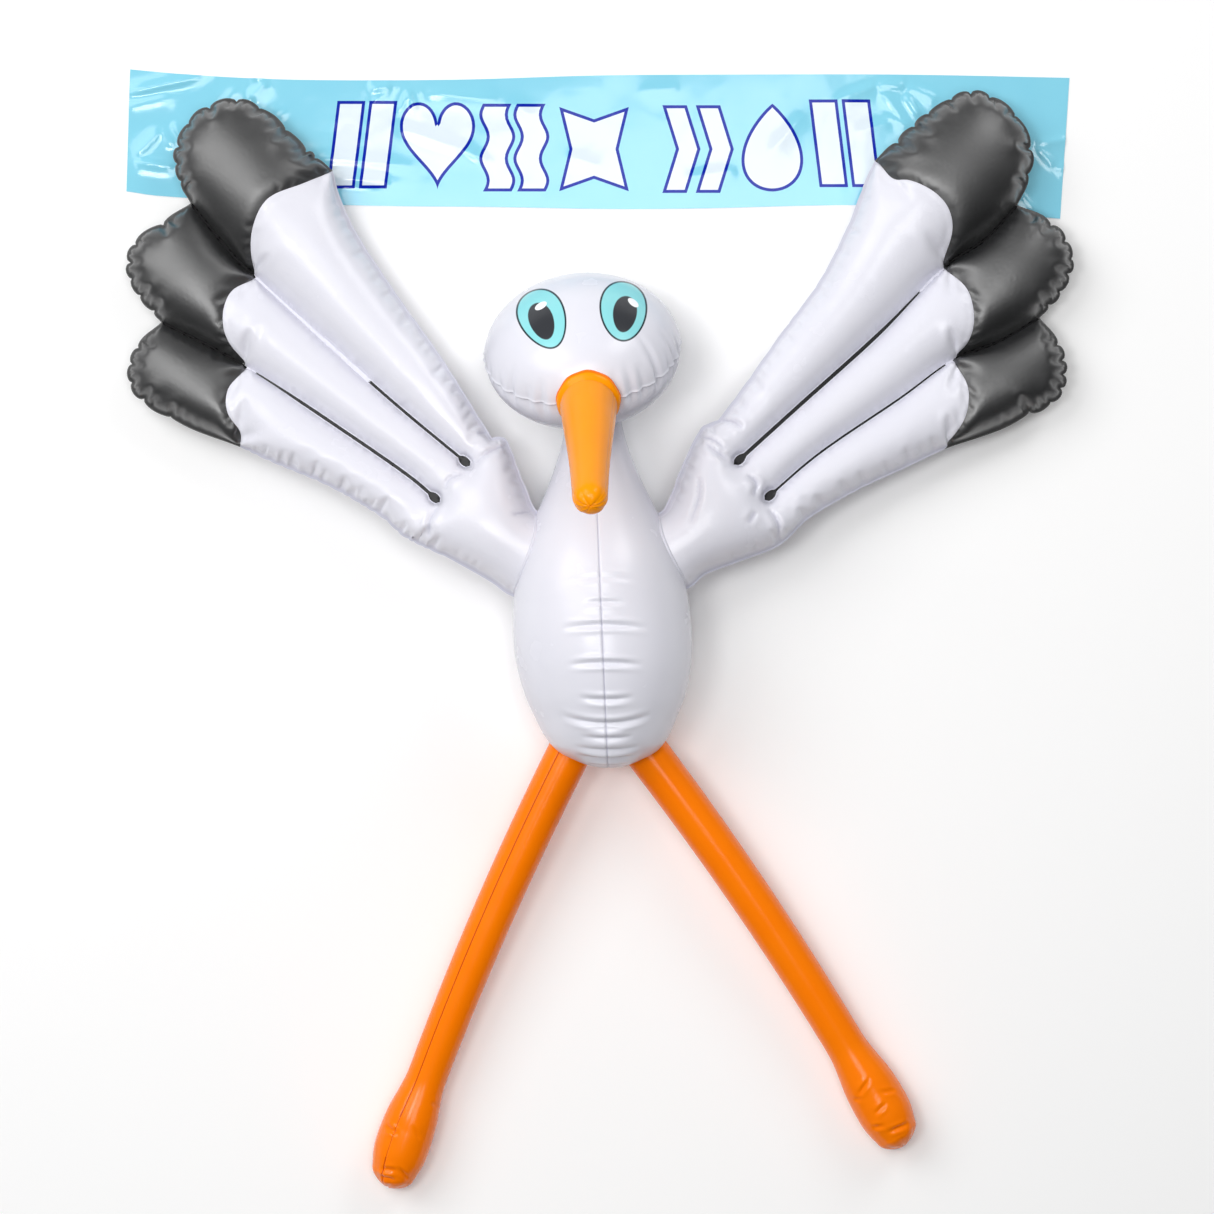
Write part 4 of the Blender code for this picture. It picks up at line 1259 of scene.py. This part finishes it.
def buildWing(name, shape, side, seed):
    random = np.random.default_rng(seed)
    size = wingFilm["meshSize"]
    shoulder = bodyAxis(wingFilm["shoulderAlong"]) + np.array([side * wingFilm["shoulderAside"]
                                                              * bodyFilm["width"], 0, 0])
    curves = {}
    for key, thousandths in shape.items():
        if isinstance(thousandths, list) and key not in ("folds", "creases"):
            control = shoulder[:2] + np.array(thousandths) * wingFilm["length"] / 1000
            curves[key] = smoothCurve(control, size)
    edges, slits = wingEdges(shape, curves, side, random)
    rim = np.vstack([edge[:-1] for edge in edges] + [edges[-1][-1:]])
    inner = rim + leftNormals(rim) * -side * wingFilm["weldWidth"]
    rootCount = round(np.linalg.norm(rim[-1] - rim[0]) / size)
    root = rim[-1] + (rim[0] - rim[-1]) * np.linspace(0, 1, rootCount + 1)[1:-1, None]
    outline = np.vstack([rim, root])
    joint = np.vstack([curves["joint1"][:-1], curves["joint2"][:-1], curves["joint3"]])
    black = np.vstack([edges[2][:-1], edges[3][:-1], edges[4][:-1], joint[::-1][:-1]])
    inks, bands, middles = {}, {}, {}
    lines = [(inner[2:-2], False), (joint, False)]
    for key in ("seam1", "seam2"):
        halfWidth = shape["seamHalfWidth"][key]
        inks[key] = seamBand(curves[key], halfWidth, 0)[0]
        bands[key], middles[key] = seamBand(curves[key], halfWidth, seamDrop["margin"])
        lines += [(bands[key], True), (inks[key][1:-1], False), (middles[key][1:-1], False)]
    rows = sideRows(inner, 0, size, 3, (-side,)) + sideRows(joint, 0, size, 2)
    for key in bands:
        rows += sideRows(middles[key], shape["seamHalfWidth"][key] + seamDrop["margin"], size, 3)
    creases = []
    taken = np.vstack([outline, inner, joint, bands["seam1"], bands["seam2"]])
    courses = [(smoothCurve(shoulder[:2] + np.array(line) * wingFilm["length"] / 1000, 0.002),
                depth * wingFilm["creaseDepth"] / 1000, wingFilm["creaseWidth"])
               for line, depth in shape["creases"]]
    courses += [(slit, wingFilm["slitDepth"], wingFilm["slitWidth"]) for slit in slits]
    for course, depth, width in courses:
        creases.append((evenPoints(course, 120), depth, width))
        course = evenPoints(course, round(curveLength(course) / (0.9 * size)))
        course = course[insidePolygon(outline, course) & (nearestPlaces(taken, course)[1] > 0.8 * size)]
        if len(course) > 1:
            lines.append((course, False))
    points, triangles = filmNet(outline, lines, rows, size)
    count = len(points)

    # welds: the rim, the flat strip inside it and the bands between the feathers
    fineRim = smoothCurve(rim, wingFilm["fineStep"])
    toRim = nearestPlaces(fineRim, points)[1]
    inBand = np.zeros(count, bool)
    for key in bands:
        fineBand = evenRing(bands[key], 1200)
        inBand |= insidePolygon(bands[key], points) | (nearestPlaces(fineBand, points)[1] < 0.0002)
    onRim = toRim < wingFilm["weldWidth"] * wingFilm["rimReach"]
    welded = onRim | inBand
    rootPoints = nearestPlaces(root, points)[1] < tiny * 5
    swell = pillow(points, triangles, welded)

    slopeEnd = wingFilm["slopeEnd"] * wingFilm["length"]
    slope = ease(np.linalg.norm(points - shoulder[:2], axis=1) / slopeEnd)
    fullness = wingFilm["armFullness"] + (wingFilm["featherFullness"] - wingFilm["armFullness"]) * slope
    height = np.maximum(fullness * swell, wingFilm["weldHalfThickness"])
    folds = shoulder[:2] + np.array(shape["folds"]) * wingFilm["length"] / 1000
    dip = np.zeros(count)
    for fold in folds:
        far = nearestPlaces(evenPoints(fold, 60), points)[1]
        dip = np.maximum(dip, wingFilm["foldStart"] * np.exp(-(far / wingFilm["foldReach"] * 1.6) ** 2))
    rough = random.uniform(-wingFilm["roughness"], wingFilm["roughness"], count)
    start = np.column_stack([points, np.maximum(height + (rough - dip) * ~welded,
                                                wingFilm["weldHalfThickness"])])

    # how much film there is along each edge of the net, across the welds and along them
    springs = netEdges(triangles)
    middle = (points[springs[:, 0]] + points[springs[:, 1]]) / 2
    seams = [fineRim] + [evenRing(bands[key], 900) for key in bands]
    owners = np.concatenate([[0] * len(seams[0]), [1] * len(seams[1]), [1] * len(seams[2])])
    places = np.vstack(seams)
    nearest, far = nearestPlaces(places, middle)
    across = (middle - places[nearest]) / np.maximum(far, 1e-9)[:, None]
    spring = points[springs[:, 1]] - points[springs[:, 0]]
    crosswise = (spring * across).sum(axis=1)
    lengthwise = np.sqrt(np.clip((spring ** 2).sum(axis=1) - crosswise ** 2, 0, None))
    isBlack = insidePolygon(black, middle)
    edgeKind = np.repeat(range(len(edges)), [len(edge) - 1 for edge in edges[:-1]] + [len(edges[-1])])
    atRim = nearestPlaces(rim, middle)[0]
    rimKind = edgeKind[atRim]
    firstLobe, lastLobe, trail = (rimParts.index(key) for key in ("lobe1", "lobe3", "trail"))
    trailShare = (atRim - (len(rim) - len(edges[-1]))) / len(edges[-1])
    puckered = (rimKind == trail) & (trailShare < shape["trailPuckers"]["upTo"])
    # beyond the last notch of the lowest lobe the film runs smooth into the trailing edge
    smoothShare = 1 - shape["notches"]["lobe3"][-1] - wingFilm["smoothAfter"]
    smoothFrom = len(rim) - len(edges[-1]) - len(edges[-2]) * smoothShare
    smoothEnd = (rimKind == lastLobe) & (atRim > smoothFrom)
    nearRim = owners[nearest] == 0
    trailAmount = wingFilm["trailGather"] * shape["trailPuckers"]["amount"]
    atLobe = nearRim & (rimKind >= firstLobe) & (rimKind <= lastLobe)
    atTrail = nearRim & (rimKind == trail)
    amount = np.select([nearRim & smoothEnd, atLobe, nearRim & puckered, atTrail, nearRim],
                       [wingFilm["smoothGather"], wingFilm["lobeGather"], trailAmount,
                        wingFilm["smoothGather"], wingFilm["leadGather"]], wingFilm["seamGather"])
    reachOf = np.select([atLobe, atTrail], [wingFilm["lobeGatherReach"], wingFilm["trailGatherReach"]],
                        wingFilm["edgeGatherReach"])
    gather = amount * np.exp(-(far / reachOf) ** 2)
    toJoint = nearestPlaces(smoothCurve(joint, 0.001), middle)[1]
    gather = gather + np.where(isBlack, wingFilm["jointGather"], 0) * np.exp(
        -(toJoint / wingFilm["jointGatherReach"]) ** 2)
    flatLength = np.linalg.norm(spring, axis=1)
    tight = np.column_stack([points, height])
    restLengths = np.linalg.norm(tight[springs[:, 1]] - tight[springs[:, 0]], axis=1)
    restLengths *= np.sqrt(1 + ((1 + gather) ** 2 - 1) * (lengthwise / flatLength) ** 2)
    restLengths *= 1 + wingFilm["slack"]
    for fold in folds:
        reach = nearestPlaces(evenPoints(fold, 60), middle)[1]
        course = (fold[1] - fold[0]) / np.linalg.norm(fold[1] - fold[0])
        over = 1 - (spring @ course / flatLength) ** 2
        restLengths *= 1 + wingFilm["foldGather"] * over * np.exp(-(reach / wingFilm["foldReach"]) ** 2)
    fromJoint = nearestPlaces(smoothCurve(joint, wingFilm["fineStep"]), points)[1]
    onJoint = fromJoint < 0.0004
    alongJoint = onJoint[springs].all(axis=1)
    restLengths[alongJoint] = np.linalg.norm(spring, axis=1)[alongJoint] * wingFilm["jointPinch"]

    steps = wingFilm["steps"]
    film = blowUp(start, triangles, springs, restLengths, welded | rootPoints, steps)
    # crease valleys are cut into the film, and their middle lines are painted darker towards the weld's
    # colour: painted shade in the folds
    paintedCreaseShade = np.zeros(count)
    for course, depth, width in creases:
        nearest, far = nearestPlaces(course, points)
        fade = np.clip(1 - (2 * nearest / (len(course) - 1) - 1) ** 2, 0, 1) ** wingFilm["creaseTaper"]
        film[:, 2] += depth * fade * valley(far, width)
        line = np.exp(-(far / wingFilm["creaseShadeWidth"]) ** 2)
        paintedCreaseShade = np.maximum(paintedCreaseShade, wingFilm["creaseShadeAmount"] * fade * line)
    beside = fromJoint * ~insidePolygon(black, points)
    welt = np.exp(-((beside - wingFilm["weltAway"]) / wingFilm["weltReach"]) ** 2)
    hollow = np.exp(-((beside - wingFilm["hollowAway"]) / wingFilm["hollowReach"]) ** 2)
    film[:, 2] += wingFilm["jointWelt"] * (welt - wingFilm["hollowShare"] * hollow) * (beside > 0)
    film[welded, 2] = start[welded, 2]
    film[:, 2] = np.maximum(film[:, 2], wingFilm["weldHalfThickness"])

    # the middle plane falls from the shoulder to the feathers, and the rim waves about it
    reach = np.linalg.norm(film[:, :2] - shoulder[:2], axis=1)
    rootHeight = axisHeight - wingFilm["rootDrop"]
    plane = rootHeight + (wingFilm["tipHeight"] - rootHeight) * ease(reach / slopeEnd)
    top = film.copy()
    bottom = film.copy()
    top[:, 2] = plane + film[:, 2]
    bottom[:, 2] = np.maximum(plane - film[:, 2], wingFilm["restHeight"])

    centres = points[triangles].mean(axis=1)
    blackFaces = insidePolygon(black, centres)
    inked = np.zeros(len(triangles), bool)
    bandFaces = np.zeros(len(triangles), bool)
    for key, share in shape["inkFrom"].items():
        at = nearestPlaces(middles[key], centres)[0] / (len(middles[key]) - 1)
        within = insidePolygon(bands[key], centres)
        bandFaces |= within
        inked |= (insidePolygon(inks[key], centres) & (at > share)) | (within & blackFaces)
    normals = leftNormals(joint) * side
    atJoint, jointFar = nearestPlaces(joint, points)
    onLine = jointFar < tiny * 5
    # the weld mark holds the real welds and also the painted shade of the creases
    weld = np.where(onRim, 1.0, np.where(inBand, wingFilm["bandDulling"], paintedCreaseShade))
    # the bands of the black pieces take the weld material with the painted valley shade
    for chosen, sign, label, slot, materials in (
            (~blackFaces, -1, "_white_film", "white_film", [whiteFilm, blackInk]),
            (blackFaces, 1, "_black_film", "black_film", [blackFilm, valleyShadedBlack])):
        shifted = [top.copy(), bottom.copy()]
        for skin in shifted:
            skin[onLine, :2] += sign * normals[atJoint[onLine]] * wingFilm["gap"]
        vertices, faces, shades, used = closedFilm(points, triangles[chosen], *shifted,
                                                   inked[chosen].astype(int).tolist())
        node = ("wing_" if sign < 0 else "wing_tips_") + name
        kinds = bandFaces[chosen].tolist() * 2
        kinds += [2] * (len(faces) - len(kinds))
        addPiece("wing_" + name + label, node, vertices, faces, materials, shades,
                 np.concatenate([weld[used], weld[used]]), kinds)
    return top, bottom


print("blowing up the wings")
wingTopLeft, wingUnderLeft = buildWing("left", wingLeft, -1, 11)
wingTopRight, wingUnderRight = buildWing("right", wingRight, 1, 23)


# Welds that join the wings to the body, raised where the films are pressed together

wingWeld = {
    "from": 0.46,               # shares of the body's length
    "to": 0.72,
    "halfWidth": 0.0026,
    "halfHeight": 0.0030,
    "steps": 90,
    "sides": 12,
    "searchFrom": 0.55,         # share of the body's half width
    "searchTo": 0.999,
    "lean": (0.55, 0, 0.85),    # the way it stands up
    "smoothings": 6,
}


def buildWingWeld(name, side, wingTop):
    # follows the line where the wing comes out of the body's skin
    shares = np.linspace(wingWeld["from"], wingWeld["to"], wingWeld["steps"])
    places = []
    for middle, fullness in zip(bodyAxis(shares), bodyRadius(shares)):
        aside = np.linspace(wingWeld["searchFrom"], wingWeld["searchTo"], 120)
        x = middle[0] + side * aside * fullness * bodyFilm["width"] / 2
        skin = middle[2] + fullness * bodyFilm["depth"] / 2 * np.sqrt(1 - aside ** 2)
        line = np.column_stack([x, np.full(len(x), middle[1])])
        nearest, far = nearestPlaces(wingTop[:, :2], line)
        over = (wingTop[nearest, 2] > skin) & (far < wingFilm["meshSize"])
        if over.any():
            first = int(np.argmax(over))
            places.append((x[first], middle[1], skin[first]))
    path = np.array(places)
    for _ in range(wingWeld["smoothings"]):
        path[1:-1] = (path[:-2] + 2 * path[1:-1] + path[2:]) / 4
    course = np.gradient(path, axis=0)
    course /= np.linalg.norm(course, axis=1)[:, None]
    out = np.cross(course, np.cross(np.array([side, 1, 1]) * wingWeld["lean"], course))
    out /= np.linalg.norm(out, axis=1)[:, None]
    across = np.cross(course, out)
    angles = 2 * np.pi * np.arange(wingWeld["sides"]) / wingWeld["sides"]
    ends = np.sqrt(np.clip(1 - np.abs(np.linspace(-1, 1, len(path))) ** 8, 0.05, 1))[:, None, None]
    rise = wingWeld["halfHeight"] * out[:, None, :] * np.cos(angles)[None, :, None]
    breadth = wingWeld["halfWidth"] * across[:, None, :] * np.sin(angles)[None, :, None]
    grid = path[:, None, :] + ends * (rise + breadth)
    points, faces = gridMesh(grid, path[0], path[-1])
    addPiece(name, None, points, faces, [whiteFilm], weld=np.full(len(points), 0.4))


buildWingWeld("wing_left_weld", -1, wingTopLeft)
buildWingWeld("wing_right_weld", 1, wingTopRight)

# Banner: one thin printed film that lies on the floor under the wing tips

bannerFilm = {
    "length": 1.296,
    "width": 0.180,
    "thickness": 0.00025,
    "restHeight": 0.0002,
    "underWing": 0.0004,        # left free below the wings
    "netSize": 0.0042,
    "inkWidth": 0.0043,         # outline of the printed shapes
    "waveHeight": 0.0006,
    "motifHeight": 121,         # millimetres
    "inkSpacing": 0.85,         # times the net size
    "inkMargin": 0.8,           # times the ink's width, always inked
}
# Shares of the length along and of the width down from the upper left corner
bannerUpper = [(0.0, 0.0), (0.07, 0.045), (0.18, 0.08), (0.34, 0.08), (0.50, 0.047), (0.66, 0.04),
               (0.82, 0.04), (1.0, 0.065)]
bannerLower = [(-0.004, 0.935), (0.05, 0.98), (0.23, 1.04), (0.39, 1.055), (0.51, 1.07), (0.61, 1.065),
               (0.77, 1.04), (0.88, 1.075), (0.99, 1.145)]
bannerMotifs = [
    # shape, millimetres along and down from the upper left corner, width in millimetres
    ("leaningBars", 320, 104, 92), ("heart", 424, 106, 104), ("waves", 530, 108, 94),
    ("star", 640, 110, 100), ("chevrons", 784, 110, 94), ("drop", 886, 108, 90),
    ("leaningBack", 986, 102, 94),
]
bannerFolds = [
    # millimetres along and down of both ends, height, width of one flank and of the other
    (-6, 34, 104, 10, 5.0, 9, 5), (-8, 52, 60, 38, 2.0, 8, 12), (166, 12, 188, 16, 3.2, 8, 5),
    (164, 40, 190, 14, 4.0, 5, 9), (6, 126, 62, 134, 4.2, 4, 10), (8, 122, 44, 84, 3.6, 9, 4),
    (44, 84, 60, 108, 2.6, 4, 6), (60, 74, 74, 100, 3.0, 5, 4), (206, 66, 214, 60, 1.6, 4, 3),
    (328, 26, 362, 24, 3.6, 6, 9), (334, 44, 358, 34, 2.4, 6, 4), (382, 28, 394, 58, 3.4, 4, 5),
    (372, 60, 384, 30, 2.4, 4, 4), (256, 120, 380, 132, 2.6, 5, 8), (276, 150, 362, 158, 4.4, 12, 6),
    (364, 76, 480, 118, 3.0, 5, 11), (424, 94, 496, 128, 2.6, 6, 7), (404, 32, 512, 44, 2.8, 12, 9),
    (520, 40, 560, 70, 1.2, 9, 9), (600, 118, 660, 140, 1.0, 12, 9), (700, 30, 760, 26, 1.0, 14, 10),
    (760, 150, 840, 140, 1.2, 10, 12), (972, 42, 1030, 22, 3.2, 5, 10), (1030, 22, 1070, 24, 3.4, 8, 5),
    (1070, 24, 1116, 42, 3.0, 6, 9), (1070, 34, 1090, 66, 4.6, 4, 6), (1034, 26, 1072, 78, 2.4, 9, 6),
    (1040, 62, 1076, 80, 2.2, 5, 8), (1000, 88, 1060, 70, 1.8, 8, 8), (1250, 102, 1296, 96, 3.4, 5, 9),
    (1250, 106, 1276, 138, 3.6, 8, 4), (1276, 138, 1296, 132, 3.0, 5, 8),
    (1226, 168, 1250, 196, 2.6, 5, 6), (880, 120, 930, 60, 1.2, 10, 12),
    (120, 60, 150, 24, 1.6, 10, 10),
]


def motifOutlines(kind, width, height):
    turn = np.linspace(0, 2 * math.pi, 73)[:-1]
    if kind in ("leaningBars", "leaningBack"):
        lean = 0.16 if kind == "leaningBars" else -0.16
        bar = [(-0.21 - lean / 2, -0.5), (0.21 - lean / 2, -0.5), (0.21 + lean / 2, 0.5),
               (-0.21 + lean / 2, 0.5)]
        shapes = [[(x + middle, y) for x, y in bar] for middle in (-0.24, 0.24)]
    elif kind == "waves":
        up = np.linspace(-0.5, 0.5, 25)
        bend = 0.055 * np.sin(up * 4 * math.pi)
        shapes = [list(zip(bend + middle + 0.21, up)) + list(zip(bend[::-1] + middle - 0.21, up[::-1]))
                  for middle in (-0.25, 0.25)]
    elif kind == "chevrons":
        arrow = [(-0.28, -0.5), (0.08, -0.5), (0.28, 0), (0.08, 0.5), (-0.28, 0.5), (-0.08, 0)]
        shapes = [[(x + middle, y) for x, y in arrow] for middle in (-0.25, 0.24)]
    elif kind == "star":
        corners = [(math.pi * (step / 4 + 0.25), 0.68 if step % 2 == 0 else 0.34) for step in range(8)]
        shapes = [[(math.cos(angle) * far, math.sin(angle) * far) for angle, far in corners]]
    elif kind == "drop":
        across = 0.5 * np.sin(turn) * np.sin(turn / 2) ** 0.8 * 1.18
        shapes = [list(zip(across, 0.5 * np.cos(turn)))[::-1]]
    else:
        across = np.sin(turn) ** 3 * 0.5
        up = 13 * np.cos(turn) - 5 * np.cos(2 * turn) - 2 * np.cos(3 * turn) - np.cos(4 * turn)
        shapes = [list(zip(across, up / 29 + 0.09))[::-1]]
    return [np.array(shape, float) * np.array([width, height]) / 1000 for shape in shapes]


def insetPolygon(polygon, amount):
    # the same polygon with each side moved inwards, corners kept sharp; runs anticlockwise
    along = np.roll(polygon, -1, axis=0) - polygon
    along /= np.linalg.norm(along, axis=1)[:, None]
    normal = np.stack([-along[:, 1], along[:, 0]], axis=1)
    before = np.roll(normal, 1, axis=0)
    share = 1 + (normal * before).sum(axis=1)
    return polygon + (normal + before) * (amount / np.maximum(share, 0.25))[:, None]


def dividedPolygon(polygon, spacing):
    points = []
    for start, end in zip(polygon, np.roll(polygon, -1, axis=0)):
        count = max(1, round(np.linalg.norm(end - start) / spacing))
        points += [start + (end - start) * step / count for step in range(count)]
    return np.array(points)


def crinkle(along, down):
    # low straight folds with one steep and one slack flank, over a slow wave
    height = np.zeros(len(along))
    for x1, y1, x2, y2, rise, near, far in bannerFolds:
        course = np.array([x2 - x1, y2 - y1], float)
        length = np.linalg.norm(course)
        course /= length
        share = ((along - x1) * course[0] + (down - y1) * course[1]) / length
        aside = -(along - x1) * course[1] + (down - y1) * course[0]
        beyond = np.maximum(np.abs(share - 0.5) - 0.5, 0) * length / 9
        taper = np.clip(1 - (2 * share - 1) ** 4, 0.15, 1) * np.exp(-beyond ** 2)
        flank = np.where(aside < 0, near, far)
        height = np.maximum(height, rise * taper * np.exp(-(np.abs(aside) / flank) ** 1.35))
    lengthwise = np.sin(along / 61 + 1.1 * np.sin(down / 47))
    wave = (lengthwise * np.sin(down / 58 + along / 143 + 0.6) + 1) / 2
    return height / 1000 + bannerFilm["waveHeight"] * wave


def buildBanner(undersides):
    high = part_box("banner")[1]
    corner = np.array([high.x - bannerFilm["length"], high.y]) - tail[:2]
    size = bannerFilm["netSize"]
    scale = np.array([bannerFilm["length"], -bannerFilm["width"]])
    upper, lower = (corner + smoothCurve(edge, 0.02) * scale for edge in (bannerUpper, bannerLower))
    upper, lower = (evenPoints(edge, round(curveLength(edge) / size)) for edge in (upper, lower))
    rows = round(bannerFilm["width"] / size)
    ends = np.linspace(0, 1, rows + 1)[1:-1, None]
    outline = np.vstack([lower, lower[-1] + (upper[-1] - lower[-1]) * ends, upper[::-1],
                         upper[0] + (lower[0] - upper[0]) * ends])
    inks, fills = [], []
    for kind, along, down, width in bannerMotifs:
        for shape in motifOutlines(kind, width, bannerFilm["motifHeight"]):
            shape = shape + corner + np.array([along, -down]) / 1000
            spacing = size * bannerFilm["inkSpacing"]
            inks.append(dividedPolygon(shape, spacing))
            fills.append(dividedPolygon(insetPolygon(shape, bannerFilm["inkWidth"]), spacing))
    points, triangles = filmNet(outline, [(line, True) for line in inks + fills], [], size)

    height = crinkle(*((points - corner) * np.array([1000, -1000])).T)
    nearest, far = nearestPlaces(undersides[:, :2], points)
    room = undersides[nearest, 2] - bannerFilm["underWing"] - bannerFilm["thickness"]
    under = np.clip(1.5 - far / (2 * size), 0, 1)
    most = np.maximum(room, 0) / np.maximum(under, tiny)
    height = np.where(under > 0, np.minimum(height, most), height)
    bottom = np.column_stack([points, bannerFilm["restHeight"] + height])
    top = bottom + np.array([0, 0, bannerFilm["thickness"]])
    centres = points[triangles].mean(axis=1)
    shades = np.zeros(len(triangles), int)
    for ink, fill in zip(inks, fills):
        inside = insidePolygon(ink, centres)
        fromEdge = nearestPlaces(evenRing(ink, 900), centres)[1]
        clear = fromEdge > bannerFilm["inkMargin"] * bannerFilm["inkWidth"]
        shades[inside] = np.where(insidePolygon(fill, centres) & clear, 2, 1)[inside]
    vertices, faces, shades, _ = closedFilm(points, triangles, top, bottom, shades.tolist())
    films = [filmMaterial("printed_cyan_film", bannerLook)[0],
             filmMaterial("screen_printed_blue_ink", dict(bannerLook, **bannerInks["blue"]))[0],
             filmMaterial("screen_printed_white_ink", dict(bannerLook, **bannerInks["white"]))[0]]
    kinds = [0] * (2 * len(triangles)) + [2] * (len(faces) - 2 * len(triangles))
    piece = addPiece("banner_film", "banner", vertices, faces, films, shades,
                     kinds=kinds)


buildBanner(np.vstack([wingUnderLeft, wingUnderRight]))
